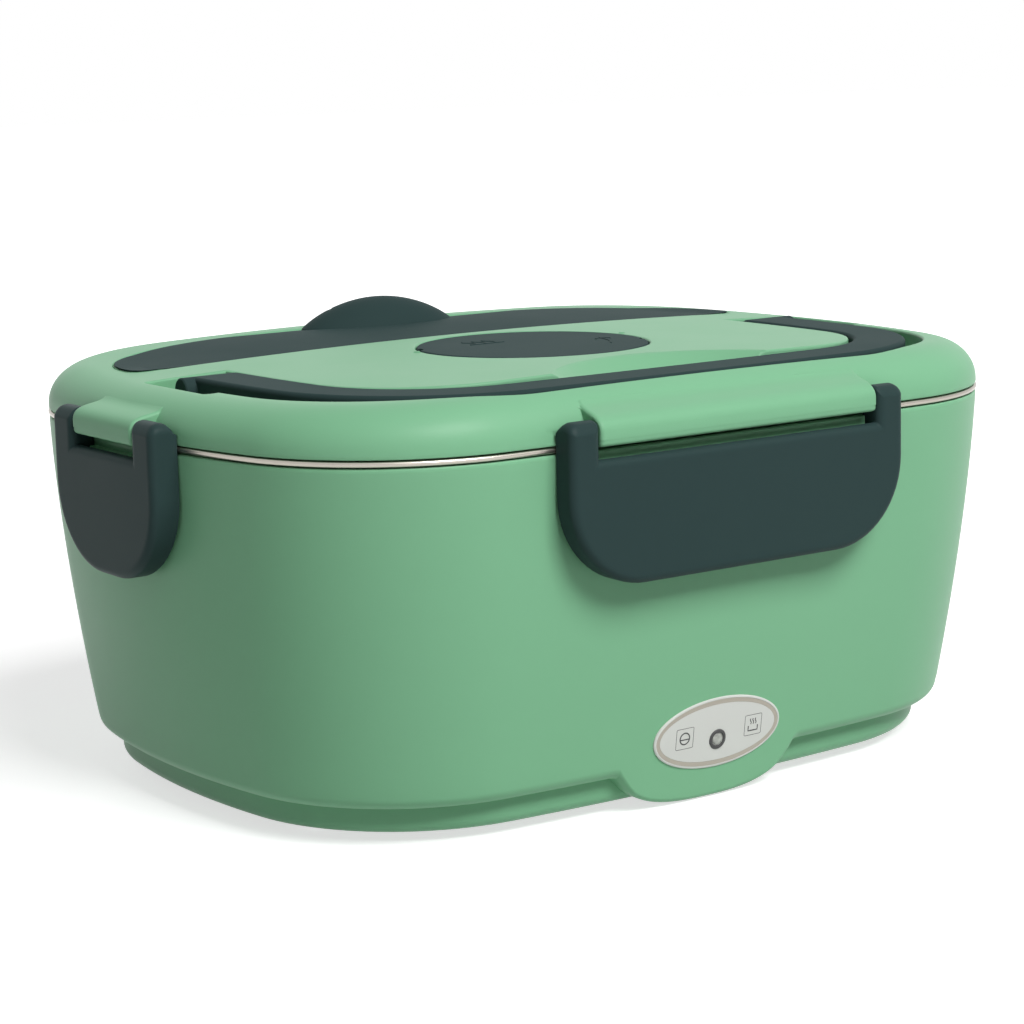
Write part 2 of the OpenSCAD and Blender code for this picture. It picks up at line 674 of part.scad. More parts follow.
module steel_container() {
    lip_top = rim_z + bead_r;
    low = pot_z + pot_round;
    bead = function (a) level(rim_z + bead_r * sin(a), bead_r * (1 - cos(a)) - 0.2);
    outside = concat(
        [for (i = [0 : round_n]) let (t = 90 * i / round_n)
            level(pot_z + pot_round * (1 - cos(t)), pot_inset(low) + pot_round * (1 - sin(t)))],
        [level(rim_z * 0.62, pot_inset(rim_z * 0.62)), level(lip_top - steel_t, lip_w),
         level(lip_top - steel_t, 2.2 * bead_r), bead(-150)]);
    top = [for (a = [-90, -45, 0, 45, 90]) bead(a)];
    inside = concat([level(lip_top, lip_w + steel_t), level(rim_z * 0.62, pot_inset(rim_z * 0.62) + steel_t)],
        [for (i = [round_n : -1 : 0]) let (t = 90 * i / round_n)
            level(pot_z + steel_t + (pot_round - steel_t) * (1 - cos(t)),
                pot_inset(low) + steel_t + (pot_round - steel_t) * (1 - sin(t)))]);
    color(steel) loft(concat(outside, top, inside));
}

// ---- lid -----------------------------------------------------------------------------------

lid_z = rim_z + 1;
fillet_c = lid_top - lid_round;
lid_in_r = lid_round - lid_t;
lid_ceiling = lid_top - lid_t;
tub_t = 1.8;
floor_z = lid_top - recess_d;
tub_low = floor_z - tub_t;
hinge_z = lid_z + 2.5;
hinge_out = 2.5;
roll_r = ear_r - 0.1;
panel_bow = 400;
panel_round = 1800;
handle_gap = 0.4;
handle_in_x = panel_x + handle_gap;
handle_out_x = handle_in_x + handle_w;
handle_in_y = panel_y + handle_gap;
handle_out_y = handle_in_y + handle_w;
handle_z = floor_z + gap + handle_t / 2 + 0.1;
scoop_half = 35;
scoop_back = 17.5;
scoop_r = (scoop_half * scoop_half + scoop_back * scoop_back) / (2 * scoop_back);
scoop_y = -(panel_y - scoop_back) - scoop_r;
scoop_d = 5.4;
pocket_x = recess_x + 3;
pocket_y = -20;
cover_z = lid_top + 0.3 - cover_t;
cover_axis_y = cover_y + 1.8;
cover_axis_z = cover_z + cover_t / 2;
cover_pin_r = 0.75;
groove_w = 4.7;
groove_d = 2.4;
pin_c = 0.09;
cover_corner = 4;
disc_t = 2.4;
disc_z = lid_top - disc_t - 0.1;
shaft_r = 4;
vent_hole_r = 2;
vent_hole_at = 18;
notch_a = -22;
vent_turn = 60;
vent_a = notch_a - vent_turn;
vent_hole = vent_hole_at * [cos(vent_a), sin(vent_a)] - [0, disc_y];

// Half outline of the front: a U with bowed arms, open at the back at y
function front_u(x, y, rc, back) =
    let (o = outline(x, y, panel_round, panel_bow, rc))
    concat([[-x, back]], [for (p = o) if (p.y < 0.001 && p.x <= x + 1) p], [[x, back]]);

module u_shape(x, y, rc, back) {
    polygon(front_u(x, y, rc, back));
}

// The D-shaped outline of the cutlery compartment, grown by g all round
module d_shape(g) {
    x = cover_x + g;
    y1 = cover_back + g;
    y0 = cover_y - g;
    c = cover_corner + g;
    rx = cover_r + g;
    ry = y1 - y0 - c;
    back = [for (i = [1 : 12]) [x - rx + rx * cos(90 * i / 12), y1 - ry + ry * sin(90 * i / 12)]];
    front = [for (i = [0 : 4]) polar([x - c, y0 + c], c, -90 + 90 * i / 4)];
    half = concat(front, back);
    polygon(concat(half, [for (i = [len(half) - 1 : -1 : 0]) [-half[i].x, half[i].y]]));
}

module lid_cup() {
    inside = concat([for (i = [0 : round_n]) let (t = 90 * i / round_n)
            rim_level(fillet_c + lid_in_r * cos(t), lid_t + lid_in_r * (1 - sin(t)))],
        [rim_level(lid_z, lid_t)]);
    outside = concat([rim_level(lid_z, 0)], [for (i = [0 : 6]) let (t = 90 * i / 6)
            rim_level(fillet_c + lid_round * sin(t), lid_round * (1 - cos(t)))]);
    loft(concat(inside, outside));
}

tub_low_top = fillet_c + 9.3;
tub_high_top = lid_ceiling + 1;

// The floor plan of the tubs under the handle's recess and the cutlery compartment
module tub_plan() {
    difference() {
        u_shape(recess_x + 2, recess_y + 2, 55, recess_back + 2);
        u_shape(panel_x - 2, panel_y - 2, panel_r - 2, recess_back + 38);
    }
    for (s = [-1, 1]) translate([s * (recess_x + 4), (recess_back + pocket_y) / 2])
        square([12, recess_back - pocket_y + 4], center = true);
    d_shape(2);
}

module lid_tubs() {
    translate([0, 0, tub_low]) linear_extrude(tub_low_top - tub_low) tub_plan();
    translate([0, 0, tub_low]) linear_extrude(tub_high_top - tub_low) intersection() {
        tub_plan();
        polygon(outline(a0, b0, long_bow_r, short_bow_r, corner_r, 9));
    }
    intersection() {
        translate([0, scoop_y, lid_top - scoop_d - tub_t]) cylinder(r = scoop_r + 1, h = scoop_d, $fn = 120);
        translate([-scoop_half - 3, -panel_y - 2, lid_top - scoop_d - tub_t]) cube([2 * scoop_half + 6, 30, scoop_d]);
    }
    translate([0, -disc_y, disc_z - tub_t]) cylinder(r = disc_r + 2.3, h = tub_t + 1, $fn = 96);
    translate([0, -disc_y, tub_low + 0.4]) cylinder(r = shaft_r + 2.4, h = disc_z - tub_low - 1, $fn = 48);
}

module lid_pockets() {
    translate([0, 0, floor_z]) linear_extrude(20) difference() {
        u_shape(recess_x, recess_y, 53, recess_back);
        u_shape(panel_x, panel_y, panel_r, recess_back + 40);
    }
    for (s = [-1, 1]) translate([s > 0 ? recess_x - 9 : -pocket_x, pocket_y, floor_z])
        cube([pocket_x - recess_x + 9, recess_back - pocket_y, 20]);
    // finger scoop in the front edge of the panel
    intersection() {
        translate([0, scoop_y, lid_top - scoop_d]) cylinder(r1 = scoop_r - 10, r2 = scoop_r + 0.1, h = scoop_d + 0.1, $fn = 120);
        translate([-50, -panel_y - 3, lid_top - scoop_d - 1]) cube([100, 40, scoop_d + 3]);
    }
    // cutlery compartment, with a ledge round it for the cover
    translate([0, 0, floor_z]) linear_extrude(20) d_shape(-1.8);
    translate([0, 0, cover_z - gap]) linear_extrude(20) d_shape(gap);
    // room under and beside the cover's front edge, which turns down as the cover opens
    translate([-cover_x - gap, cover_y - gap, cover_axis_z - groove_d])
        cube([2 * (cover_x + gap), groove_w, groove_d - 0.9]);
    for (s = [-1, 1]) translate([s > 0 ? cover_x - 2 : -cover_x - gap, cover_y + 0.4, cover_axis_z - groove_d])
        cube([2 + gap, groove_w - 2.4, 10]);
    // finger room behind the cover's lift
    translate([0, dome_y, lid_top - 0.9]) oval(dome_a + 0.6, dome_b + 0.6, 5);
    // seat of the vent disc, the bore for its shaft and the steam hole
    translate([0, -disc_y, disc_z - 0.1]) cylinder(r = disc_r + gap, h = 10, $fn = 96);
    translate([0, -disc_y, tub_low - 5]) cylinder(r = shaft_r + run_c, h = 20, $fn = 48);
    translate([vent_hole.x, vent_hole.y, lid_ceiling - 8]) cylinder(r = vent_hole_r, h = 20, $fn = 32);
}

// The roll that a latch hinges on, with its blend up to the lid and two blind bores for the pegs
module roll(len, out) {
    y = -(out + hinge_out);
    translate([-len / 2, 0, 0]) rotate([90, 0, 90]) linear_extrude(len) {
        translate([y, hinge_z]) circle(roll_r, $fn = 48);
        polygon([[y - roll_r * cos(35), hinge_z + roll_r * sin(35)], [y + 4.4, lid_top - 3.4],
            [y + 8, lid_top - 3.4], [y + 8, hinge_z + 2], [y + 3.6, hinge_z + 1], [y + 3.6, lid_z],
            [y, hinge_z - roll_r], [y - 1, hinge_z]]);
    }
}

module roll_bores(len, out) {
    for (s = [-1, 1]) translate([s * len / 2, -(out + hinge_out), hinge_z]) rotate([0, s > 0 ? -90 : 90, 0])
        translate([0, 0, -5]) cylinder(r = peg_r + run_c, h = 5 + 3.2, $fn = 32);
}

// Space for a latch's ears beside the roll
module ear_room(len, ear, out) {
    for (s = [-1, 1]) translate([s * (len - ear) / 2, -(out + hinge_out), hinge_z]) rotate([0, 90, 0])
        translate([0, 0, -ear / 2 - gap]) cylinder(r = ear_r + 0.4, h = ear + 2 * gap, $fn = 48);
}

module for_each_latch() {
    for (a = [0, 180]) rotate(a) children(0);
    for (a = [90, 270]) rotate(a) children(1);
}

module lid_shell() {
    roll_l = latch_l - 2 * ear_l - 2 * gap;
    roll_s = latch_s - 2 * ear_s - 2 * gap;
    color(green) difference() {
        union() {
            lid_cup();
            lid_tubs();
            for_each_latch() { roll(roll_l, b0); roll(roll_s, a0); }
            for (s = [-1, 1]) translate([s * (pocket_x + 2.5), handle_y, handle_z])
                cube([6, 9, 2 * stub_r + 3], center = true);
        }
        lid_pockets();
        for_each_latch() { roll_bores(roll_l, b0); roll_bores(roll_s, a0); }
        for_each_latch() { ear_room(latch_l, ear_l, b0); ear_room(latch_s, ear_s, a0); }
        for (s = [-1, 1]) translate([s * (pocket_x - 1), handle_y, handle_z]) rotate([0, s * 90, 0])
            cylinder(r = stub_r + run_c, h = 4.4, $fn = 32);
        for (s = [-1, 1]) translate([s * (cover_x - 1), cover_axis_y, cover_axis_z]) rotate([0, s * 90, 0])
            cylinder(r = cover_pin_r + pin_c, h = 3.2, $fn = 24);
    }
}

inner_t = 1.4;
inner_z = tub_low - gap - inner_t;
skirt_in = lip_w + steel_t + 1;
skirt_t = 1.3;
skirt_low = rim_z + bead_r + gap;

module inner_lid() {
    color(white) difference() {
        union() {
            loft([rim_level(inner_z, lid_t + gap), rim_level(inner_z + inner_t, lid_t + gap + 0.5)]);
            loft_ring([rim_level(skirt_low, skirt_in + skirt_t), rim_level(skirt_low, skirt_in + 0.3),
                rim_level(skirt_low + 0.4, skirt_in), rim_level(inner_z + 0.2, skirt_in),
                rim_level(inner_z + 0.2, skirt_in + skirt_t)]);
        }
        translate([vent_hole.x, vent_hole.y, inner_z - 5]) cylinder(r = vent_hole_r, h = 20, $fn = 32);
        translate([0, -disc_y, inner_z - 5]) cylinder(r = shaft_r + 2.6, h = 20, $fn = 48);
    }
    color(white) translate([0, -disc_y, inner_z - 3.4]) difference() {
        cylinder(r = shaft_r + 4, h = inner_t + 3.4, $fn = 48);
        translate([0, 0, 1.2]) cylinder(r = shaft_r + 2.6, h = 20, $fn = 48);
    }
}

seal_w = 3.2;

module lid_seal() {
    low = rim_z + bead_r + gap;
    in1 = lid_t + gap + 0.3;
    color([0.8, 0.82, 0.8]) loft_ring([rim_level(low, in1 + seal_w / 2), rim_level(low + 0.5, in1),
        rim_level(inner_z - 0.2, in1), rim_level(inner_z - 0.2, in1 + seal_w),
        rim_level(low + 0.5, in1 + seal_w)]);
}

module vent_washer() {
    color([0.75, 0.77, 0.75]) translate([vent_hole.x, vent_hole.y, 0]) difference() {
        translate([0, 0, inner_z + inner_t + 0.1]) cylinder(r = 4.4, h = disc_z - 0.1 - tub_t - inner_z - inner_t - 0.2, $fn = 32);
        translate([0, 0, inner_z]) cylinder(r = vent_hole_r, h = 20, $fn = 32);
    }
}

shaft_low = tub_low + 0.4 - 2.2;

module vent_retainer() {
    color(slate) translate([0, -disc_y, shaft_low + 0.3]) difference() {
        cylinder(r = shaft_r + 2, h = 1.4, $fn = 48);
        translate([0, 0, -1]) cylinder(r = 2.5, h = 4, $fn = 32);
    }
}

module vent_disc() {
    notch = 2.4;
    color(slate) translate([0, -disc_y, 0]) difference() {
        union() {
            translate([0, 0, disc_z]) cylinder(r = disc_r - 0.4, h = disc_t - 0.5, $fn = 96);
            translate([0, 0, disc_z + 0.4]) cylinder(r = disc_r, h = disc_t - 0.9, $fn = 96);
            translate([0, 0, disc_z + disc_t - 0.51]) cylinder(r1 = disc_r, r2 = disc_r - 0.5, h = 0.51, $fn = 96);
            translate([0, 0, tub_low + 0.3]) cylinder(r = shaft_r, h = disc_z - tub_low, $fn = 48);
            translate([0, 0, shaft_low]) cylinder(r = 2.5, h = tub_low - shaft_low + 1, $fn = 32);
        }
        for (a = [notch_a, notch_a + 180]) rotate(a) translate([disc_r - 0.4, 0, disc_z - 1]) rotate(45)
            translate([-notch / 2, -notch / 2, 0]) cube([notch, notch, disc_t + 3]);
        rotate(notch_a) translate([vent_hole_at - 2, -1.2, disc_z - 1]) cube([disc_r, 2.4, 2]);
    }
}

// ---- handle, latches and cutlery cover ---------------------------------------------------------

module handle() {
    hub_x = handle_out_x + 3;
    color(slate) difference() {
        union() {
            translate([0, 0, handle_z - handle_t / 2]) linear_extrude(handle_t) difference() {
                u_shape(handle_out_x, handle_out_y, 47, handle_y);
                u_shape(handle_in_x, handle_in_y, panel_r + handle_gap, handle_y + 10);
            }
            for (s = [-1, 1]) translate([s * (handle_in_x + hub_x) / 2, handle_y, handle_z]) rotate([0, 90, 0])
                cylinder(r = handle_t / 2, h = hub_x - handle_in_x, center = true, $fn = 48);
            for (s = [-1, 1]) translate([s * (hub_x - 1), handle_y, handle_z]) rotate([0, s * 90, 0])
                cylinder(r = stub_r, h = pocket_x + 3 - hub_x + 1, $fn = 32);
        }
        // grip rib pocket under the bar
        translate([-40, -(handle_in_y + handle_w / 2) - 3.5, handle_z - handle_t / 2 - 1]) cube([80, 7, 3]);
    }
}

latch_top = hinge_z;
plate_edge_z = rim_z - 2.5;
back_gap = 0.8;
hook_z = catch_z - 0.3 - 2.6;

// A latch drawn for the front: len along X, out is the rim outline's distance from the middle
module latch(len, ear, out) {
    y_face = -(out + latch_out);
    y_back = -(out + back_gap);
    deep = y_back - y_face;
    w = len / 2;
    color(slate) difference() {
        union() {
            difference() {
                // outline of the plate, with round lower corners
                translate([0, y_back, 0]) rotate([90, 0, 0]) linear_extrude(deep) {
                    translate([-w, latch_z + latch_r]) square([len, latch_top - latch_z - latch_r]);
                    translate([-w + latch_r, latch_z]) square([len - 2 * latch_r, latch_r + 1]);
                    for (s = [-1, 1]) translate([s * (w - latch_r), latch_z + latch_r]) circle(latch_r, $fn = 64);
                }
                // hollow behind the face
                translate([0, y_back + 1, 0]) rotate([90, 0, 0]) linear_extrude(deep - latch_t + 1) {
                    r = latch_r - latch_t;
                    translate([-w + latch_t, latch_z + latch_r]) square([len - 2 * latch_t, latch_top]);
                    translate([-w + latch_r, latch_z + latch_t]) square([len - 2 * latch_r, latch_r]);
                    for (s = [-1, 1]) translate([s * (w - latch_r), latch_z + latch_r]) circle(r, $fn = 64);
                }
                // the part above the ears' own faces
                translate([-w - 1, y_face - 1, hinge_z]) cube([len + 2, deep + 3, 20]);
            }
            // solid ears, round about the hinge axis
            for (s = [-1, 1]) translate([s * (w - ear / 2), 0, 0]) {
                translate([-ear / 2, y_face, plate_edge_z - 4]) cube([ear, deep, hinge_z - plate_edge_z + 4]);
                translate([0, -(out + hinge_out), hinge_z]) rotate([0, 90, 0])
                    cylinder(r = ear_r, h = ear, center = true, $fn = 48);
                translate([-ear / 2, y_face, hinge_z - 0.01]) intersection() {
                    cube([ear, latch_out - hinge_out, ear_r]);
                    translate([-1, latch_out - hinge_out, 0]) rotate([0, 90, 0])
                        cylinder(r = latch_out - hinge_out, h = ear + 2, $fn = 48);
                }
            }
            // pegs into the roll's bores
            for (s = [-1, 1]) translate([s * (w - ear + 1), -(out + hinge_out), hinge_z]) rotate([0, -s * 90, 0])
                cylinder(r = peg_r, h = 1 + gap + 2.6, $fn = 32);
            // hook bar under the catch
            translate([-w + ear + 1.5, y_face + 1, hook_z]) cube([len - 2 * ear - 3, latch_out - catch_out - gap - 1, 2.6]);
        }
        // slot in front of the roll
        translate([-w + ear, y_face - 1, plate_edge_z]) cube([len - 2 * ear, 3.1 + latch_t, 20]);
        translate([-w + ear, y_face - 1, plate_edge_z]) difference() {
            cube([len - 2 * ear, deep + 6, 20]);
            for (x = [-0.1, len - 2 * ear - 1 - gap - 2.7]) translate([x, -1, hinge_z - plate_edge_z - 2])
                cube([1 + gap + 2.8, 20, 10]);
        }
    }
}

module latch_front() { latch(latch_l, ear_l, b0); }
module latch_back() { rotate(180) latch(latch_l, ear_l, b0); }
module latch_left() { rotate(-90) latch(latch_s, ear_s, a0); }
module latch_right() { rotate(90) latch(latch_s, ear_s, a0); }

dome_y = cover_back - 4;
dome_b = 13;
dome_sink = 0.5;

function ellipse_level(y, z, a, b, n) = [for (i = [0 : n - 1]) [a * cos(360 * i / n), y + b * sin(360 * i / n), z]];

// A dome with an oval foot at height z, half sizes a and b, and height h
module dome(y, z, a, b, h, n) {
    loft([for (t = [0, 15, 30, 45, 60, 72, 82]) ellipse_level(y, z + h * sin(t), a * cos(t), b * cos(t), n)]);
}

module cutlery_cover() {
    dome_z = cover_z + cover_t - dome_sink;
    color(slate) {
        translate([0, 0, cover_z]) linear_extrude(cover_t) d_shape(0);
        difference() {
            dome(dome_y, dome_z, dome_a, dome_b, dome_h + dome_sink + 1, 40);
            // finger room under the back of the lift
            translate([-dome_a + 11, dome_y - 1, dome_z + dome_sink + 0.4]) cube([2 * dome_a - 22, 20, 5]);
        }
        for (s = [-1, 1]) translate([s * (cover_x - 3), cover_axis_y, cover_axis_z]) rotate([0, s * 90, 0])
            cylinder(r = cover_pin_r, h = 4.2, $fn = 24);
    }
}

outer_shell();
heating_well();
base_cover();
rubber_feet();
base_screws();
heating_plate();
plate_screws();
ptc_heater();
heater_clamp();
clamp_screws();
thermostat();
thermal_fuse();
fuse_clip();
insulation_pad();
power_inlet();
inlet_pins();
lamp_badge();
lamp_lens();
lamp_led();
lamp_board();
wire_live();
wire_neutral();
heater_wires();
lamp_leads();
steel_container();
lid_shell();
inner_lid();
lid_seal();
vent_washer();
vent_retainer();
vent_disc();
handle();
latch_front();
latch_back();
latch_left();
latch_right();
cutlery_cover();
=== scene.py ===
import math
from collections import namedtuple

import bmesh
import bpy
import numpy as np
from mathutils import Matrix, Vector


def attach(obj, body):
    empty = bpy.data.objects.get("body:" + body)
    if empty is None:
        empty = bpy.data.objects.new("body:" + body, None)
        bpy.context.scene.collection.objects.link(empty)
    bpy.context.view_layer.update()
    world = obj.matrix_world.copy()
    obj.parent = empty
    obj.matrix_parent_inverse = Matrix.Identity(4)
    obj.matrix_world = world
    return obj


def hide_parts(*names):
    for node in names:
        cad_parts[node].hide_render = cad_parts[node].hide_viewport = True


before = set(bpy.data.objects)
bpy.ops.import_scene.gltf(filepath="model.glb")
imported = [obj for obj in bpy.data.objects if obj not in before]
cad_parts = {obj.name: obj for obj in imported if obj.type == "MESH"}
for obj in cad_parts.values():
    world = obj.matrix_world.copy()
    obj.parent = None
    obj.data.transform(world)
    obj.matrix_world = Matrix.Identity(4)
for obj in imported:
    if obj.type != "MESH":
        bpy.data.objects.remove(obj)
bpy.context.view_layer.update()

# ---------------------------------------------------------------- camera
# The viewpoint: a long lens a little above the lid, standing off to the left of the badge side.
camera_data = bpy.data.cameras.new("viewpoint")
camera_data.sensor_fit = "HORIZONTAL"
camera_data.sensor_width = 36.0
camera_data.lens = 94.03
camera_data.clip_start = 0.05
camera_data.clip_end = 50.0
camera = bpy.data.objects.new("viewpoint", camera_data)
bpy.context.scene.collection.objects.link(camera)
view_azimuth = math.radians(-34.87)
view_elevation = math.radians(9.96)
view_roll = math.radians(-1.44)
camera_spot = (-0.41172, -0.58836, 0.18859)
back = Vector((
    math.sin(view_azimuth) * math.cos(view_elevation),
    -math.cos(view_azimuth) * math.cos(view_elevation),
    math.sin(view_elevation),
))
level_right = Vector((math.cos(view_azimuth), math.sin(view_azimuth), 0.0))
level_up = back.cross(level_right)
right = math.cos(view_roll) * level_right + math.sin(view_roll) * level_up
up = -math.sin(view_roll) * level_right + math.cos(view_roll) * level_up
camera.matrix_world = Matrix.Translation(camera_spot) @ Matrix((
    (right.x, up.x, back.x, 0.0),
    (right.y, up.y, back.y, 0.0),
    (right.z, up.z, back.z, 0.0),
    (0.0, 0.0, 0.0, 1.0),
))
bpy.context.scene.camera = camera
bpy.context.scene.view_settings.view_transform = "Standard"

# ---------------------------------------------------------------- table top, backdrop and studio lamps
# A seamless white table and surround, with a broad soft box high in front and weak ones left and behind.
table_mesh = bpy.data.meshes.new("table_top")
table_mesh.from_pydata([(-6, -6, 0), (6, -6, 0), (6, 6, 0), (-6, 6, 0)], [], [(0, 1, 2, 3)])
table_top = bpy.data.objects.new("table_top", table_mesh)
bpy.context.scene.collection.objects.link(table_top)


def new_tree(name):
    material = bpy.data.materials.new(name)
    material.use_nodes = True
    tree = material.node_tree
    tree.nodes.clear()
    return material, tree


def combine(tree, operation, first, second, clamp=False):
    """One arithmetic node between two sockets, and its result."""
    step = tree.nodes.new("ShaderNodeMath")
    step.operation = operation
    step.use_clamp = clamp
    tree.links.new(first, step.inputs[0])
    tree.links.new(second, step.inputs[1])
    return step.outputs[0]


def seen_directly(tree):
    """1 for camera, glossy and transmission rays, 0 for the rays that only carry light."""
    path = tree.nodes.new("ShaderNodeLightPath").outputs
    either = combine(tree, "ADD", path["Is Camera Ray"], path["Is Glossy Ray"])
    return combine(tree, "ADD", either, path["Is Transmission Ray"], clamp=True)


def spread(tree, value, low, high, start=0.0, end=1.0):
    """A socket's run from start to end, mapped to run from low to high."""
    stretch = tree.nodes.new("ShaderNodeMapRange")
    stretch.inputs["From Min"].default_value = start
    stretch.inputs["From Max"].default_value = end
    stretch.inputs["To Min"].default_value = low
    stretch.inputs["To Max"].default_value = high
    tree.links.new(value, stretch.inputs["Value"])
    return stretch.outputs["Result"]


table_white, tree = new_tree("table_white")
diffuse = tree.nodes.new("ShaderNodeBsdfDiffuse")
diffuse.inputs["Color"].default_value = (0.62, 0.62, 0.62, 1)
glow = tree.nodes.new("ShaderNodeEmission")
place = tree.nodes.new("ShaderNodeTexCoord")
far = tree.nodes.new("ShaderNodeVectorMath")
far.operation = "LENGTH"
tree.links.new(place.outputs["Object"], far.inputs[0])
# the table glows less near the box, so that its shadow shows, and fades into the surround
fade = spread(tree, far.outputs["Value"], 0.66, 1.0, start=0.25, end=0.9)
tree.links.new(combine(tree, "MULTIPLY", seen_directly(tree), fade), glow.inputs["Strength"])
both = tree.nodes.new("ShaderNodeAddShader")
tree.links.new(diffuse.outputs[0], both.inputs[0])
tree.links.new(glow.outputs[0], both.inputs[1])
surface = tree.nodes.new("ShaderNodeOutputMaterial")
tree.links.new(both.outputs[0], surface.inputs["Surface"])
table_mesh.materials.append(table_white)

world = bpy.data.worlds.new("studio")
bpy.context.scene.world = world
world.use_nodes = True
tree = world.node_tree
tree.nodes.clear()
sky = tree.nodes.new("ShaderNodeBackground")
sky.inputs["Color"].default_value = (1, 1, 1, 1)
tree.links.new(spread(tree, seen_directly(tree), 0.12, 1.0), sky.inputs["Strength"])
surface = tree.nodes.new("ShaderNodeOutputWorld")
tree.links.new(sky.outputs[0], surface.inputs["Surface"])


def soft_box(name, place, target, width, height, power):
    lamp = bpy.data.lights.new(name, "AREA")
    lamp.shape = "RECTANGLE"
    lamp.size = width
    lamp.size_y = height
    lamp.energy = power
    body = bpy.data.objects.new(name, lamp)
    bpy.context.scene.collection.objects.link(body)
    body.location = place
    body.rotation_mode = "QUATERNION"
    body.rotation_quaternion = (Vector(target) - Vector(place)).to_track_quat("-Z", "Y")
    return body


box_middle = (0, 0, 0.05)
soft_box("key_box", (0.1, -1.6, 1.8), box_middle, 1.2, 0.9, 57)
soft_box("fill_box", (-1.6, -1.3, 1.5), box_middle, 1.0, 1.0, 0.6)
back_box = soft_box("back_box", (0.3, 1.9, 0.7), box_middle, 1.2, 0.9, 7)
back_box.visible_glossy = False

# ---------------------------------------------------------------- base cover
# The shallow green tray that closes the box from below: moulded polypropylene, held by four screws
# that sink into round pockets in its floor.
MM = 0.001
RIM_Z = 94.9
HALF_LENGTH = 118.0
HALF_WIDTH = 91.0
# radii of the bowed sides: at the rim, then at the foot
LONG_RADII = (1826.0, 737.0)
SHORT_RADII = (215.0, 229.0)


def side_arcs(half_l, half_w, long_r, short_r, corner_r):
    """Corner centre, the centres of the two bowed sides, and the corner's first and last angle."""
    long_c = np.array((0.0, long_r - half_w))
    short_c = np.array((short_r - half_l, 0.0))
    r1 = long_r - corner_r
    r2 = short_r - corner_r
    apart = short_c - long_c
    d = math.hypot(*apart)
    k = (r1 * r1 - r2 * r2 + d * d) / (2 * d)
    h = math.sqrt(max(r1 * r1 - k * k, 0.0))
    u = apart / d
    foot = long_c + u * k
    w = np.array((-u[1], u[0]))
    corner = min((foot + w * h, foot - w * h), key=lambda p: p[0] + p[1])
    end = math.atan2(*(corner - long_c)[::-1])
    start = math.atan2(*(corner - short_c)[::-1])
    start = start - 2 * math.pi if start > 0 else start
    return corner, long_c, short_c, start, end


def outline(shape, inset, sides=(10, 24, 26)):
    """Points round a box with four bowed sides, from the middle of the left side by way of the front."""
    long_r, short_r, corner_r = shape[2:]
    corner, long_c, short_c, start, end = side_arcs(*shape)
    quarter = []
    for i in range(sides[0]):
        a = -math.pi + (start + math.pi) * i / sides[0]
        quarter.append(short_c + (short_r - inset) * np.array((math.cos(a), math.sin(a))))
    for i in range(sides[1] + 1):
        a = start + (end - start) * i / sides[1]
        quarter.append(corner + (corner_r - inset) * np.array((math.cos(a), math.sin(a))))
    reach = quarter[-1][0]
    # the middle of a long side, up to here, has its points at the same x at every level
    middle_x = -34.0
    outer = 6
    for i in range(1, sides[2] + 1):
        if i <= outer:
            x = reach + (middle_x - reach) * i / outer
        else:
            x = middle_x * (1 - (i - outer) / (sides[2] - outer))
        y = long_c[1] - math.sqrt((long_r - inset) ** 2 - x * x)
        quarter.append(np.array((x, y)))
    q = np.array(quarter)
    flip_x = np.array((-1.0, 1.0))
    front = np.vstack((q, q[-2::-1] * flip_x))
    rear = (front[1:-1] * np.array((1.0, -1.0)))[::-1]
    return np.vstack((front, rear))


def body_shape(z):
    """Half sizes, side radii and corner radius of the body at a height, blended from the rim to the foot."""
    k = min(max((RIM_Z - z) / 93.4, 0.0), 1.0)
    long_r = 1.0 / ((1 - k) / LONG_RADII[0] + k / LONG_RADII[1])
    short_r = 1.0 / ((1 - k) / SHORT_RADII[0] + k / SHORT_RADII[1])
    return HALF_LENGTH, HALF_WIDTH, long_r, short_r, 49.5 + 10.7 * k


def draw_in(z):
    """How far the wall at a height stands in from the rim: 7.7 mm at the foot, on a curve."""
    return 7.7 * (max(RIM_Z - z, 0.0) / 83.4) ** 1.6


def quarter_turn(steps):
    """The angles of a quarter turn in equal steps."""
    return [math.radians(90 * step / steps) for step in range(steps + 1)]


def at_level(points, z):
    z = np.broadcast_to(z, (len(points),))
    return np.column_stack((points, z))


def ring_mesh(name, rings, joined=False):
    """A surface through rings of points in millimetres, closed by its ends or joined into a loop."""
    count = len(rings[0])
    verts = (np.vstack(rings) * MM).tolist()
    total = len(rings)
    faces = []
    for j in range(total if joined else total - 1):
        a, b = j * count, ((j + 1) % total) * count
        for i in range(count):
            n = (i + 1) % count
            faces.append((a + i, a + n, b + n, b + i))
    if not joined:
        faces.append(tuple(range(count - 1, -1, -1)))
        faces.append(tuple((total - 1) * count + i for i in range(count)))
    mesh = bpy.data.meshes.new(name)
    mesh.from_pydata(verts, [], faces)
    mesh.validate()
    return mesh


def outward(mesh):
    """Welds a mesh and turns all its faces outward."""
    work = bmesh.new()
    work.from_mesh(mesh)
    bmesh.ops.remove_doubles(work, verts=work.verts, dist=1e-6)
    bmesh.ops.recalc_face_normals(work, faces=work.faces)
    work.to_mesh(mesh)
    work.free()


def soften(mesh, angle):
    """Smooth faces, with sharp edges kept where they meet at more than an angle in degrees."""
    for face in mesh.polygons:
        face.use_smooth = True
    mesh.set_sharp_from_angle(angle=math.radians(angle))


def loose(name, mesh):
    """A mesh as an object in the scene."""
    thing = bpy.data.objects.new(name, mesh)
    bpy.context.scene.collection.objects.link(thing)
    return thing


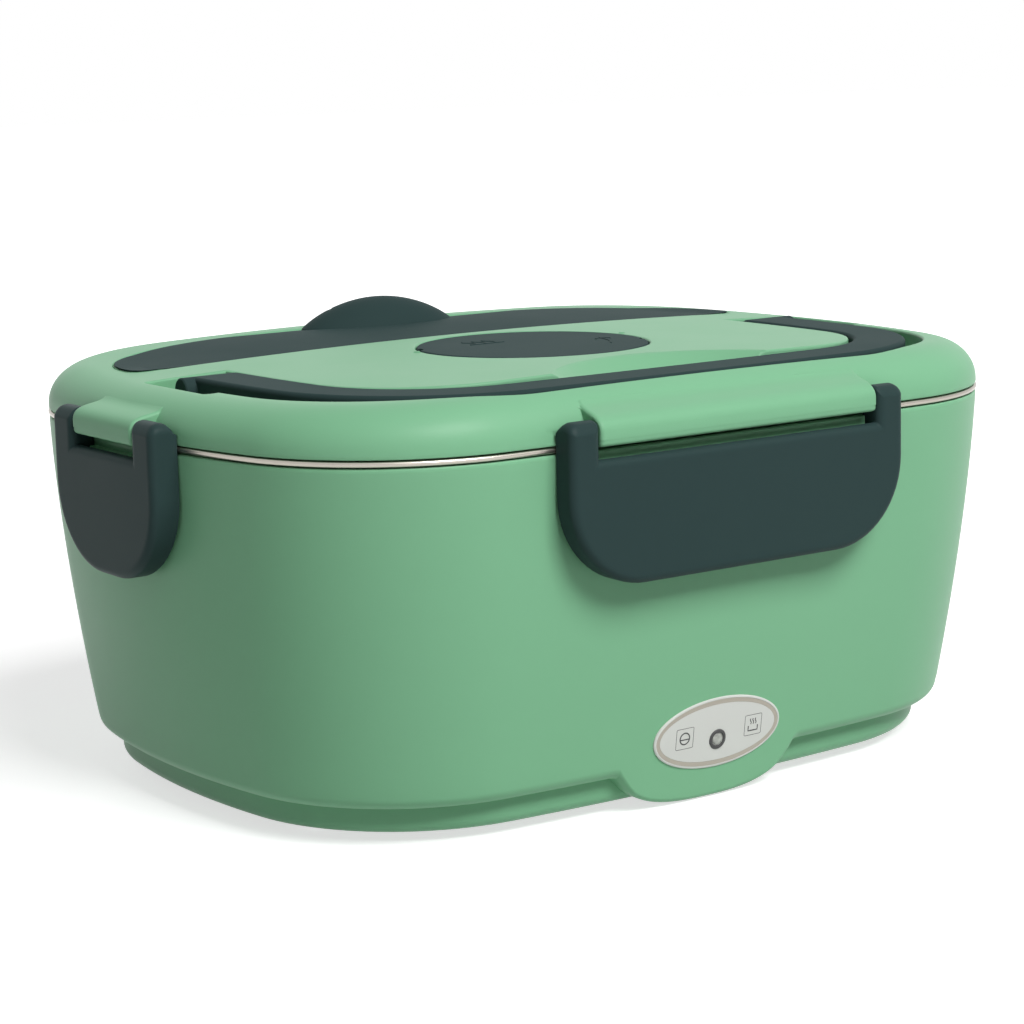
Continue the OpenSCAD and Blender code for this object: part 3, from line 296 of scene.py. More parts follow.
def place_piece(name, mesh, body, slot, material, *stands_for, angle=35.0):
    """Puts a mesh in the scene on its body, in its material, in place of the CAD nodes it stands for."""
    outward(mesh)
    soften(mesh, angle)
    mesh.materials.clear()
    mesh.materials.append(material)
    thing = loose(name, mesh)
    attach(thing, body)
    if stands_for:
        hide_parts(*stands_for)
    return thing


def apply_modifiers(thing):
    graph = bpy.context.evaluated_depsgraph_get()
    mesh = bpy.data.meshes.new_from_object(thing.evaluated_get(graph))
    thing.modifiers.clear()
    old = thing.data
    thing.data = mesh
    bpy.data.meshes.remove(old)


def drum(radius, low, high, centre, segments=48):
    """An upright cylinder in millimetres, for cutting or adding."""
    turn = np.linspace(0, 2 * math.pi, segments, endpoint=False)
    circle = np.column_stack((centre[0] + radius * np.cos(turn), centre[1] + radius * np.sin(turn)))
    return ring_mesh("drum", [at_level(circle, low), at_level(circle, high)])


def join_meshes(name, meshes):
    work = bmesh.new()
    for mesh in meshes:
        work.from_mesh(mesh)
        bpy.data.meshes.remove(mesh)
    joined = bpy.data.meshes.new(name)
    work.to_mesh(joined)
    work.free()
    return joined


def work_with(thing, tool_mesh, operation, own_overlaps):
    """Cuts with a tool or joins it on; own_overlaps allows for a tool whose parts cross each other."""
    outward(tool_mesh)
    tool = loose("tool", tool_mesh)
    step = thing.modifiers.new("work", "BOOLEAN")
    step.operation = operation
    step.object = tool
    step.solver = "EXACT"
    step.use_self = own_overlaps
    apply_modifiers(thing)
    bpy.data.objects.remove(tool)
    bpy.data.meshes.remove(tool_mesh)


def cut_away(thing, tool_mesh):
    work_with(thing, tool_mesh, "DIFFERENCE", False)


def add_on(thing, tool_mesh):
    work_with(thing, tool_mesh, "UNION", True)


def plain_shader(name):
    """A new material with one glossy shader: its tree, the shader and the coordinates patterns follow."""
    material, tree = new_tree(name)
    shader = tree.nodes.new("ShaderNodeBsdfPrincipled")
    surface = tree.nodes.new("ShaderNodeOutputMaterial")
    tree.links.new(shader.outputs[0], surface.inputs["Surface"])
    place = tree.nodes.new("ShaderNodeTexCoord")
    return material, tree, shader, place.outputs["Object"]


def noise(tree, place, scale, detail):
    pattern = tree.nodes.new("ShaderNodeTexNoise")
    pattern.inputs["Scale"].default_value = scale
    pattern.inputs["Detail"].default_value = detail
    tree.links.new(place, pattern.inputs["Vector"])
    return pattern.outputs["Fac"]


def two_tones(tree, share, first, second, shader):
    """Gives the shader a colour between two, by a pattern's share."""
    mix = tree.nodes.new("ShaderNodeMix")
    mix.data_type = "RGBA"
    mix.inputs[6].default_value = (*first, 1)
    mix.inputs[7].default_value = (*second, 1)
    tree.links.new(share, mix.inputs[0])
    tree.links.new(mix.outputs[2], shader.inputs["Base Color"])


def raise_grain(tree, height, strength, distance, shader):
    relief = tree.nodes.new("ShaderNodeBump")
    relief.inputs["Strength"].default_value = strength
    relief.inputs["Distance"].default_value = distance
    tree.links.new(height, relief.inputs["Height"])
    tree.links.new(relief.outputs["Normal"], shader.inputs["Normal"])


def moulded_plastic(name, colour, tint, rough, shine, grain):
    """Satin moulded plastic: a faint drift of colour, uneven gloss and the fine grain of the mould."""
    material, tree, shader, place = plain_shader(name)
    two_tones(tree, noise(tree, place, 9.0, 3.0), colour, tint, shader)
    gloss = spread(tree, noise(tree, place, 38.0, 4.0), rough - 0.04, rough + 0.05)
    tree.links.new(gloss, shader.inputs["Roughness"])
    raise_grain(tree, noise(tree, place, 2600.0, 2.0), grain, 0.00006, shader)
    shader.inputs["Specular IOR Level"].default_value = shine
    return material


green = moulded_plastic("green_polypropylene", (0.196, 0.455, 0.264), (0.207, 0.472, 0.276), 0.40, 0.16, 0.25)

tray_shape = (HALF_LENGTH, HALF_WIDTH, LONG_RADII[1], SHORT_RADII[1], 64.2)
TRAY_IN = 12.6
TRAY_LOW = 2.6
TRAY_ROUND = 3.0
TRAY_TOP = 12.0
tray_rings = []
for a in quarter_turn(8):
    inset = TRAY_IN + TRAY_ROUND * (1 - math.sin(a))
    tray_rings.append(at_level(outline(tray_shape, inset), TRAY_LOW + TRAY_ROUND * (1 - math.cos(a))))
for inset, z in ((TRAY_IN, TRAY_TOP), (TRAY_IN + 2.0, TRAY_TOP), (TRAY_IN + 2.0, 6.0), (16.0, 4.6)):
    tray_rings.append(at_level(outline(tray_shape, inset), z))
tray = place_piece(
    "base_tray", ring_mesh("base_tray", tray_rings), "base", "green_plastic", green, "base_cover")
cut_away(tray, join_meshes("screw_wells", [
    drum(3.2, 1.0, 3.7, (sx * 90, sy * 40)) for sx in (-1, 1) for sy in (-1, 1)]))
soften(tray.data, 30)

# ---------------------------------------------------------------- outer shell
# The green bucket of the body: one polypropylene moulding with bowed sides, a rounded lower edge and a
# tongue that runs down under the badge. A square hole in the back takes the inlet.
SHELL_WALL = 2.2
SHELL_LOW = 10.0
SHELL_TOP = 93.9
TONGUE_MID = -0.8
TONGUE_HALF = 28.6
TONGUE_LOW = 0.35
BADGE_Z = 17.5


def lower_edge(points):
    """Height of the shell's lower edge: level all round, but dipping under the badge."""
    x = points[:, 0]
    y = points[:, 1]
    low = np.full(len(points), SHELL_LOW)
    side = np.abs(x - TONGUE_MID) / TONGUE_HALF
    inside = (side < 1) & (y < 0)
    # a squarish half oval, eased where it meets the level edge
    drop = np.clip(1 - side ** 2.8, 0, 1) ** 0.357
    dip = np.where(inside, BADGE_Z - (BADGE_Z - TONGUE_LOW) * drop, SHELL_TOP)
    ease = 4.0
    overlap = np.clip(ease - np.abs(dip - low), 0, ease) / ease
    return np.minimum(low, dip) - overlap ** 2 * ease / 4


def shell_ring(z, extra):
    """The shell's face at a height, drawn in by some extra."""
    return at_level(outline(body_shape(z), draw_in(z) + extra), z)


def edge_ring(turn):
    """One line of the rounded lower edge; turn runs from 0 under the edge to a quarter turn on the face."""
    guide = outline(body_shape(SHELL_LOW), draw_in(SHELL_LOW))
    low = lower_edge(guide)
    # the edge is crisper along the tongue
    radius = np.interp(low, (4.0, SHELL_LOW), (1.3, 3.2))
    z = low + radius * (1 - math.cos(turn))
    inset_low = np.array([draw_in(v) for v in z])
    push = radius * (1 - math.sin(turn))
    depth = 20.0
    base = outline(body_shape(SHELL_LOW), 0.0)
    inward = (outline(body_shape(SHELL_LOW), depth) - base) / depth
    return np.column_stack((base + inward * (inset_low + push)[:, None], z))


def face_ring(share):
    """A line on the face between the rounded lower edge (share 0) and the level 34 mm up (share 1)."""
    start = edge_ring(math.pi / 2)
    level = 34.0
    z = start[:, 2] + (level - start[:, 2]) * share
    lines = {height: outline(body_shape(height), draw_in(height)) for height in np.unique(np.round(z, 3))}
    flat = np.array([lines[height][i] for i, height in enumerate(np.round(z, 3))])
    return at_level(flat, z)


foot_line = outline(body_shape(SHELL_LOW), 13.2)
shell_rings = [np.column_stack((foot_line, edge_ring(0.0)[:, 2]))]
for a in quarter_turn(8):
    shell_rings.append(edge_ring(a))
for share in (0.12, 0.28, 0.48, 0.72, 1.0):
    shell_rings.append(face_ring(share))
for height in np.linspace(38, 90, 14):
    shell_rings.append(shell_ring(height, 0.0))
for drop, extra in ((1.2, 0.0), (0.5, 0.06), (0.14, 0.28), (0.0, 0.6), (0.0, 1.9), (0.3, SHELL_WALL)):
    shell_rings.append(shell_ring(SHELL_TOP - drop, extra))
for height in (92.0, 70.0, 45.0, 20.0):
    shell_rings.append(shell_ring(height, SHELL_WALL))
shell_rings.append(shell_ring(12.6, 4.6))
shell = place_piece("body_shell", ring_mesh("body_shell", shell_rings, joined=True), "base",
                    "green_plastic", green, "outer_shell")
inlet_sides = np.array([(-10.2, 70), (10.2, 70), (10.2, 100), (-10.2, 100)])
cut_away(shell, ring_mesh("inlet_hole", [at_level(inlet_sides, 12.5), at_level(inlet_sides, 24.5)]))


def bar(length, profile, place, turn):
    """A closed profile of (y, z) points, drawn out along x about the middle, then turned about z."""
    profile = np.array(profile, dtype=float)
    ends = []
    for x in (-length / 2, length / 2):
        end = np.column_stack((np.full(len(profile), x), profile)) + np.array(place)
        ends.append(turned(end, turn))
    return ring_mesh("bar", ends)


def turned(points, degrees):
    """Points turned about the upright axis through the middle of the box."""
    c = math.cos(math.radians(degrees))
    s = math.sin(math.radians(degrees))
    out = np.array(points, dtype=float)
    x = out[:, 0].copy()
    y = out[:, 1].copy()
    out[:, 0] = x * c - y * s
    out[:, 1] = x * s + y * c
    return out


def even_shading(thing, angle):
    """Smooth shading that follows the large faces, so that cuts leave no smears beside them."""
    soften(thing.data, angle)
    step = thing.modifiers.new("even", "WEIGHTED_NORMAL")
    step.keep_sharp = True
    step.weight = 60
    apply_modifiers(thing)


# what differs between the long and the short sides: how far out the side is, the latch's half width and
# its ears' width, the catch's top, two heights of the lid's roll, and how deep the latch's edge reaches
Side = namedtuple("Side", "reach half ear catch_top roll_join roll_root depth")
LONG_SIDE = Side(HALF_WIDTH, 52.0, 8.5, 93.85, 7.15, 6.4, 7.0)
SHORT_SIDE = Side(HALF_LENGTH, 26.5, 10.5, 91.8, 5.55, 5.2, 8.3)
LATCHES = (("front", 0, LONG_SIDE), ("right", 90, SHORT_SIDE), ("back", 180, LONG_SIDE),
           ("left", -90, SHORT_SIDE))
catches = []
for name, turn, side in LATCHES:
    top = side.catch_top
    profile = [(1.5, 90.6), (-0.9, 90.8), (-1.2, 91.1), (-1.2, top - 0.25), (-1.0, top), (1.5, top)]
    catches.append(bar(2 * (side.half - side.ear) - 1, profile, (0, -side.reach, 0), turn))
add_on(shell, join_meshes("catches", catches))
even_shading(shell, 30)

# ---------------------------------------------------------------- badge, lens and lamp
# An oval plate set into the front: a taupe printed border round a pale grey face, two small generic
# signs, and the grey lens of the pilot lamp in a black bezel.
BADGE_TILT = math.radians(7.95)
badge_up = np.array((0.0, -math.sin(BADGE_TILT), math.cos(BADGE_TILT)))
badge_out = np.array((0.0, -math.cos(BADGE_TILT), -math.sin(BADGE_TILT)))
badge_mid = np.array((0.5, -84.30, BADGE_Z))


def on_badge(points, lift):
    """Points (across, up) on the badge, raised by lift from its seat."""
    points = np.array(points, dtype=float)
    out = badge_mid + points[:, :1] * np.array((1.0, 0.0, 0.0)) + points[:, 1:2] * badge_up
    return out + np.broadcast_to(lift, (len(points),))[:, None] * badge_out


def oval(a, b, count=96):
    turn = np.linspace(0, 2 * math.pi, count, endpoint=False)
    return np.column_stack((a * np.cos(turn), b * np.sin(turn)))


def circle_at(x, y, r, count=40):
    return oval(r, r, count) + np.array((x, y))


border_mat = moulded_plastic("badge_border", (0.42, 0.385, 0.325), (0.46, 0.42, 0.36), 0.38, 0.3, 0.1)
face_mat = moulded_plastic("badge_face", (0.62, 0.63, 0.60), (0.65, 0.66, 0.63), 0.34, 0.3, 0.05)
ink_mat = moulded_plastic("badge_ink", (0.05, 0.05, 0.05), (0.07, 0.07, 0.07), 0.5, 0.3, 0.05)


def badge_ovals(*sizes):
    """Oval rings on the badge, each given by its half width, half height and lift."""
    return [on_badge(oval(a, b), lift) for a, b, lift in sizes]


border_rings = badge_ovals((19.5, 8.6, -0.8), (19.5, 8.6, 0.12), (18.5, 7.5, 0.12), (18.5, 7.5, -0.8))
place_piece("badge_border", ring_mesh("badge_border", border_rings, joined=True), "base", "grey_plastic",
            border_mat, "lamp_badge")
rim_rings = badge_ovals((20.2, 9.25, -0.8), (20.2, 9.25, -0.02), (20.0, 9.05, 0.14), (19.7, 8.75, 0.2),
                        (19.55, 8.65, 0.17), (19.55, 8.65, -0.8))
place_piece("badge_rim", ring_mesh("badge_rim", rim_rings, joined=True), "base", "grey_plastic", face_mat)
face_rings = badge_ovals((18.45, 7.45, -0.7), (18.45, 7.45, 0.13), (18.3, 7.3, 0.14), (9, 3, 0.14))
place_piece("badge_face", ring_mesh("badge_face", face_rings), "base", "grey_plastic", face_mat)


def flat_stroke(points, width, closed=False):
    """A printed line of the badge as a thin raised ribbon."""
    points = np.array(points, dtype=float)
    count = len(points)
    after = np.roll(points, -1, axis=0)
    before = np.roll(points, 1, axis=0)
    if not closed:
        after[-1] = points[-1]
        before[0] = points[0]
    along = after - before
    along /= np.linalg.norm(along, axis=1)[:, None]
    side = np.column_stack((-along[:, 1], along[:, 0])) * width / 2
    low = 0.1
    high = 0.17
    rails = [on_badge(points + side, low), on_badge(points + side, high), on_badge(points - side, high),
             on_badge(points - side, low)]
    rings = [np.array([rail[i] for rail in rails]) for i in range(count)]
    return ring_mesh("stroke", rings, joined=closed)


def arc(x, y, radius, start, stop, steps):
    """Points of an arc about (x, y) between two angles in degrees."""
    turns = [math.radians(start + (stop - start) * k / steps) for k in range(steps + 1)]
    return [(x + radius * math.cos(a), y + radius * math.sin(a)) for a in turns]


def box_line(x0, x1, y0, y1, r, g, steps=6):
    """The outline of a rectangle with round corners, grown by g."""
    r = max(r + g, 0.05)
    pts = arc(x1 + g - r, y1 + g - r, r, 0, 90, steps)
    pts += arc(x0 - g + r, y1 + g - r, r, 90, 180, steps)
    pts += arc(x0 - g + r, y0 - g + r, r, 180, 270, steps)
    pts += arc(x1 + g - r, y0 - g + r, r, 270, 360, steps)
    return np.array(pts)


def sign_frame(x):
    """The thin square round a sign."""
    half = 2.7
    return flat_stroke(box_line(x - half, x + half, -half, half, 0.35, 0, 3), 0.12, closed=True)


OFF_SIGN_X = -10.6
HEAT_SIGN_X = 11.4
signs = [sign_frame(OFF_SIGN_X)]
signs.append(flat_stroke(circle_at(OFF_SIGN_X, 0.0, 1.5, 28), 0.34, closed=True))
signs.append(flat_stroke([(OFF_SIGN_X + dx, -0.25) for dx in (-1.4, 0.0, 1.4)], 0.3))
signs.append(sign_frame(HEAT_SIGN_X))
bowl = ((-1.5, -0.2), (-1.5, -1.5), (0.0, -1.5), (1.5, -1.5), (1.5, -0.2))
signs.append(flat_stroke([(HEAT_SIGN_X + dx, y) for dx, y in bowl], 0.34))
for dx in (-0.8, 0.0, 0.8):
    x = HEAT_SIGN_X + dx
    steam = [(x + 0.17 * math.sin(t * 6.0), 0.2 + 1.5 * t) for t in np.linspace(0, 1, 9)]
    signs.append(flat_stroke(steam, 0.26))
place_piece("badge_signs", join_meshes("badge_signs", signs), "base", "grey_plastic", ink_mat)


def lens_ring(radius, lift):
    """A circle round the pilot lamp's middle, a little below the middle of the badge."""
    return on_badge(circle_at(0, -1.9, radius), lift)


bezel_rings = [lens_ring(2.65, -0.4), lens_ring(2.65, 0.2), lens_ring(2.45, 0.42), lens_ring(1.95, 0.46),
               lens_ring(1.7, 0.3), lens_ring(1.65, -0.4)]
place_piece("lens_bezel", ring_mesh("lens_bezel", bezel_rings, joined=True), "base", "black_plastic", ink_mat)


def resin_with_painted_facet_light(name, colour):
    """Smoked clear resin over a ribbed back, with painted highlight and shade: its base colour runs pale and
    dark in cells, as facets catching the light would look.
    """
    material, tree, shader, place = plain_shader(name)
    cells = tree.nodes.new("ShaderNodeTexVoronoi")
    cells.inputs["Scale"].default_value = 900.0
    tree.links.new(place, cells.inputs["Vector"])
    # painted highlight and shade: the facet cells are lighter and darker in the base colour itself, not lit
    # so by the lamps
    tone = tree.nodes.new("ShaderNodeValToRGB")
    tone.color_ramp.elements[0].color = (*[c * 0.55 for c in colour], 1)
    tone.color_ramp.elements[1].color = (*[min(c * 1.5, 1) for c in colour], 1)
    tree.links.new(cells.outputs["Distance"], tone.inputs["Fac"])
    tree.links.new(tone.outputs["Color"], shader.inputs["Base Color"])
    shader.inputs["Roughness"].default_value = 0.12
    shader.inputs["Coat Weight"].default_value = 0.6
    return material


lens_mat = resin_with_painted_facet_light("smoked_resin_painted_light", (0.30, 0.31, 0.28))
LENS_R = 1.62
lens_rings = [lens_ring(LENS_R, -2.8)]
for k in range(8):
    a = math.radians(84 * k / 7)
    lens_rings.append(lens_ring(LENS_R * math.cos(a), 0.05 + 0.5 * math.sin(a)))
place_piece("pilot_lens", ring_mesh("pilot_lens", lens_rings), "base", "lens_grey", lens_mat, "lamp_lens")

# ---------------------------------------------------------------- steel container
# The removable food tray: deep-drawn stainless steel, brushed inside and out, its edge rolled over into
# the bead that shows between the body and the lid.


def brushed_steel(name, colour, rough, scale=(1.0, 1.0, 60.0)):
    """Brushed metal: fine lines, drawn out against the larger numbers of scale, in tone, gloss and relief."""
    material, tree, shader, place = plain_shader(name)
    stretch = tree.nodes.new("ShaderNodeMapping")
    stretch.inputs["Scale"].default_value = scale
    tree.links.new(place, stretch.inputs["Vector"])
    lines = noise(tree, stretch.outputs["Vector"], 60.0, 5.0)
    two_tones(tree, lines, [c * 0.86 for c in colour], colour, shader)
    tree.links.new(spread(tree, lines, rough - 0.06, rough + 0.08), shader.inputs["Roughness"])
    raise_grain(tree, lines, 0.12, 0.0001, shader)
    shader.inputs["Metallic"].default_value = 1.0
    return material


steel = brushed_steel("stainless_steel", (0.50, 0.465, 0.41), 0.28)
RIM = body_shape(RIM_Z)
POT_LOW = 29.3
POT_ROUND = 6.0
STEEL = 0.6
BEAD_R = 0.7


def pot_inset(z):
    """How far the tray's sloping wall stands in from the rim at a height."""
    return 7.2 + 9.5 * (RIM_Z - z) / (RIM_Z - POT_LOW)


def pot_corner(wall, a):
    """A line of the round between the tray's floor and wall, on the outside or a wall's thickness in."""
    radius = POT_ROUND - wall
    inset = pot_inset(POT_LOW + POT_ROUND) + wall + radius * (1 - math.sin(a))
    return at_level(outline(RIM, inset), POT_LOW + wall + radius * (1 - math.cos(a)))


pot_rings = [pot_corner(0.0, a) for a in quarter_turn(8)]
for z in (50.0, 66.0, 82.0, 93.0, 94.4):
    pot_rings.append(at_level(outline(RIM, pot_inset(z)), z))
for inset in (7.0, 1.6):
    pot_rings.append(at_level(outline(RIM, inset), RIM_Z + 0.05))
for k in range(12):
    a = math.radians(-160 + 250 * k / 11)
    pot_rings.append(at_level(outline(RIM, 0.5 - BEAD_R * math.cos(a)), RIM_Z + BEAD_R * math.sin(a)))
pot_rings.append(at_level(outline(RIM, 7.6), 95.6))
pot_rings.append(at_level(outline(RIM, 7.95), 95.3))
for z in (93.0, 82.0, 66.0, 50.0):
    pot_rings.append(at_level(outline(RIM, pot_inset(z) + STEEL), z))
pot_rings += [pot_corner(STEEL, a) for a in quarter_turn(8)[::-1]]
place_piece("steel_tray", ring_mesh("steel_tray", pot_rings), "container", "container_steel", steel,
            "steel_container", angle=50)

# ---------------------------------------------------------------- lid
# The green lid: one moulding with a softly crowned top, a roll on each side that a latch hinges on, a
# U-shaped recess for the handle, a finger scoop, the vent's round seat and the cutlery compartment.
LID_LOW = 95.9
LID_TOP = 109.3
CROWN_REACH = 85.0
EDGE_LOW = 97.0
EDGE_IN = 12.0
HINGE_Z = 98.4
HINGE_OUT = 2.5


def crown(points):
    """Height of the lid's top, which falls by 1.5 mm towards its ends."""
    return LID_TOP - 1.5 * (points[:, 0] / CROWN_REACH) ** 2


def on_crown(points, lift=0.0):
    return np.column_stack((points, crown(points) + lift))


lid_rings = [at_level(outline(RIM, 2.2), 99.35), at_level(outline(RIM, 2.2), LID_LOW + 0.1),
             at_level(outline(RIM, 2.0), LID_LOW), at_level(outline(RIM, 0.35), LID_LOW),
             at_level(outline(RIM, 0.1), LID_LOW + 0.1), at_level(outline(RIM, 0.0), LID_LOW + 0.4)]
rise = crown(outline(RIM, EDGE_IN)) - EDGE_LOW
for a in quarter_turn(14):
    lid_rings.append(at_level(outline(RIM, EDGE_IN * (1 - math.cos(a))), EDGE_LOW + rise * math.sin(a)))
for inset in (16.0, 21.0, 27.0, 34.0):
    lid_rings.append(on_crown(outline(RIM, inset)))
inner_line = outline(RIM, 41.0)
for share in (1.0, *np.linspace(0.9, 0.06, 14)):
    lid_rings.append(on_crown(inner_line * share))
lid = place_piece("lid_top", ring_mesh("lid_top", lid_rings), "lid", "green_plastic", green, "lid_shell",
                  angle=40)


def roll_points(join):
    """The section of a roll about the latch's axis, with its blend up to the lid at the height join."""
    a, b, c, d = (np.array(p) for p in ((6.1, join), (3.9, join * 0.62), (-2.9, 5.1), (-3.2, 0.6)))
    pts = []
    for t in np.linspace(0, 1, 15):
        pts.append((1 - t) ** 3 * a + 3 * (1 - t) ** 2 * t * b + 3 * (1 - t) * t * t * c + t ** 3 * d)
    pts += [(-3.2, -1.35), (-3.02, -1.5), (-3.04, -2.2), (-2.8, -2.75), (-2.3, -3.05), (-1.5, -3.2),
            (2.4, -3.15), (2.9, -2.7)]
    return np.array(pts)


def at_hinge(section, along, side, turn):
    """A section (inward, up) about a latch's axis, put at a distance along the side that it is on."""
    inward = section[:, 0] - side.reach - HINGE_OUT
    ring = np.column_stack((np.full(len(section), along), inward, section[:, 1] + HINGE_Z))
    return turned(ring, turn)


rolls = []
ear_rooms = []
for name, turn, side in LATCHES:
    end = side.half - side.ear - 0.3
    section = roll_points(side.roll_join)
    tangent = np.gradient(section, axis=0)
    tangent /= np.linalg.norm(tangent, axis=1)[:, None]
    inward_side = np.column_stack((-tangent[:, 1], tangent[:, 0]))
    root = [(6.5, -2.2), (8.5, 2.0), (7.6, side.roll_root)]
    rings = []
    for x, sink in ((-end, 0.9), (-end + 0.15, 0.45), (-end + 0.5, 0.12), (-end + 1.1, 0.0),
                    (end - 1.1, 0.0), (end - 0.5, 0.12), (end - 0.15, 0.45), (end, 0.9)):
        rings.append(at_hinge(np.vstack((section + inward_side * sink, root)), x, side, turn))
    rolls.append(ring_mesh("roll", rings))
    for sx in (-1, 1):
        ear_rooms.append(ring_mesh("ear_room", [
            at_hinge(oval(3.75, 3.75, 48), sx * x, side, turn) for x in (end, side.half + 0.35)]))
add_on(lid, join_meshes("rolls", rolls))
cut_away(lid, join_meshes("ear_rooms", ear_rooms))


def u_line(x, y, corner, back_at):
    """The U-shaped outline of handle, recess and panel, from the left arm's end to the right arm's."""
    sides = (14, 30, 26)
    line = outline((x, y, 1800.0, 400.0, corner), 0.0, sides)
    front = line[:2 * sum(sides) + 1]
    return np.vstack(([(-x, back_at)], front, [(x, back_at)]))


def flared(points_at, floor):
    """A pocket's cutter: upright walls from the floor that roll outward at the lid's top."""
    base = points_at(0.0)
    mouth = crown(base)
    rings = [at_level(points_at(-0.5), floor), at_level(points_at(-0.15), floor + 0.15),
             at_level(base, floor + 0.5)]
    for step_out, drop in ((0.0, 0.75), (0.08, 0.4), (0.25, 0.16), (0.5, 0.03), (0.8, -0.02)):
        rings.append(at_level(points_at(step_out), mouth - drop))
    rings.append(at_level(points_at(1.0), mouth + 5.0))
    return ring_mesh("pocket", rings)


RECESS_BACK = 10.3
RECESS_FLOOR = 101.3


def recess_line(g):
    """The handle's recess grown by g: a U round the raised panel."""
    outer = u_line(103.0 + g, 84.0 + g, 53.0 + g, RECESS_BACK + g)
    inner = u_line(82.5 - g, 65.5 - g, 34.0 - g, RECESS_BACK + g)
    return np.vstack((outer, inner[::-1]))


cut_away(lid, flared(recess_line, RECESS_FLOOR))
# room for the arms' ends, with its floor a hair higher, so that no two faces coincide
cut_away(lid, join_meshes("end_rooms", [
    flared(lambda g: box_line(-106, -94, -22, RECESS_BACK, 1.5, g), RECESS_FLOOR + 0.01),
    flared(lambda g: box_line(94, 106, -22, RECESS_BACK, 1.5, g), RECESS_FLOOR + 0.01)]))

# the finger scoop in front: a shallow round dish, cut off straight in front of the handle
scoop_rings = []
for radius, z in ((33.0, 103.9), (35.5, 104.1), (38.5, 105.3), (41.0, 107.2), (42.8, 108.7),
                  (43.6, 109.12), (44.4, 109.28), (46.0, 109.9)):
    ring = circle_at(0, -91.75, radius, 160)
    ring[:, 1] = np.maximum(ring[:, 1], -72.0 - 0.02 * np.abs(ring[:, 0]))
    scoop_rings.append(at_level(ring, z))
cut_away(lid, ring_mesh("scoop", scoop_rings))

COVER_HALF = 99.6
COVER_FRONT = 27.5
COVER_BACK = 71.0


def cutlery_line(g):
    """The cutlery cover's outline grown by g: a straight front edge and long oval corners at the back."""
    x = COVER_HALF + g
    y1 = COVER_BACK + g
    y0 = COVER_FRONT - g
    c = max(4.0 + g, 0.3)
    rx = 50.0 + g
    ry = y1 - y0 - c
    half = arc(x - c, y0 + c, c, -90, 0, 8)
    for a in quarter_turn(28)[1:]:
        half.append((x - rx + rx * math.cos(a), y1 - ry + ry * math.sin(a)))
    half = np.array(half)
    front = [(along, y0) for along in np.linspace(c - x, x - c, 42)[1:-1]]
    return np.vstack((half, (half * np.array((-1.0, 1.0)))[::-1], front))


cut_away(lid, ring_mesh("cutlery_well", [
    at_level(cutlery_line(-2.4), 101.4), at_level(cutlery_line(-1.8), 102.0),
    at_level(cutlery_line(-1.8), 112.0)]))
cut_away(lid, flared(lambda g: cutlery_line(0.35 + g), 107.0))
DISC_MID = np.array((0.0, -9.0))
DISC_R = 31.0
cut_away(lid, flared(lambda g: circle_at(*DISC_MID, DISC_R + 0.3 + g, 120), 106.4))
cut_away(lid, join_meshes("bores", [drum(4.1, 90, 110, DISC_MID), drum(2.0, 90, 110, (2.505, -26.825), 24)]))
ticks = []
for degrees in (6.0, 168.0):
    a = math.radians(degrees)
    along = np.array((math.cos(a), math.sin(a)))
    across = np.array((-along[1], along[0]))
    tip = DISC_MID + np.array((along * 32.1 + across, along * 34.4, along * 32.1 - across))
    mid = np.mean(tip, axis=0)
    ticks.append(ring_mesh("tick", [at_level(tip, 108.6), on_crown(mid + (tip - mid) * 0.6, 0.35)]))
add_on(lid, join_meshes("ticks", ticks))
even_shading(lid, 34)

# ---------------------------------------------------------------- handle
# The slate carrying handle lies in the lid's recess. One stout U-shaped bar with rounded edges, and a
# stub at the end of each arm that turns in the wall of the panel.
slate = moulded_plastic("slate_polypropylene", (0.023, 0.046, 0.045), (0.028, 0.053, 0.052), 0.42, 0.06, 0.2)
slate_matt = moulded_plastic("slate_blasted", (0.027, 0.050, 0.049), (0.032, 0.057, 0.056), 0.55, 0.02, 0.3)
HANDLE_Z = 105.0
BAR_WIDE = 14.0
ARM_END = 2.0
lines = []
for across_bar, height in box_line(0.0, BAR_WIDE, -3.2, 3.2, 1.2, 0, 5):
    inward_by = BAR_WIDE - across_bar
    line = u_line(97.0 - inward_by, 80.6 - inward_by, 47.5 - inward_by, ARM_END)
    lines.append(at_level(line, HANDLE_Z + height))
bar_rings = [np.array(ring) for ring in zip(*lines)]


def round_end(ring):
    """The end of an arm beyond its last section: the section carried over most of a quarter turn."""
    turns = []
    for k in range(1, 8):
        a = math.radians(12 * k)
        moved = ring.copy()
        moved[:, 1] = ARM_END + 3.2 * math.sin(a)
        moved[:, 2] = HANDLE_Z + (ring[:, 2] - HANDLE_Z) * math.cos(a)
        turns.append(moved)
    return turns


bar_rings = round_end(bar_rings[0])[::-1] + bar_rings + round_end(bar_rings[-1])


def cross_pin(radius, x0, x1):
    """A pin on the handle's axis from x0 to x1, its far end rounded."""
    rings = []
    round_by = 0.3
    sign = 1 if x1 > x0 else -1
    for x, r in ((x0, radius), (x1 - sign * round_by, radius), (x1, radius - round_by)):
        circle = circle_at(ARM_END, HANDLE_Z, r)
        rings.append(np.column_stack((np.full(len(circle), x), circle)))
    return ring_mesh("cross_pin", rings)


handle = place_piece("carry_bar", ring_mesh("carry_bar", bar_rings), "carry_handle", "slate_plastic",
                     slate_matt, "handle")
add_on(handle, join_meshes("hubs", [cross_pin(3.2, s * 90, s * 100.1) for s in (-1, 1)]))
add_on(handle, join_meshes("stubs", [cross_pin(2.0, s * 90, s * 80.9) for s in (-1, 1)]))
even_shading(handle, 40)
cut_away(lid, join_meshes("stub_bores", [cross_pin(2.1, s * 84, s * 80.4) for s in (-1, 1)]))
even_shading(lid, 34)

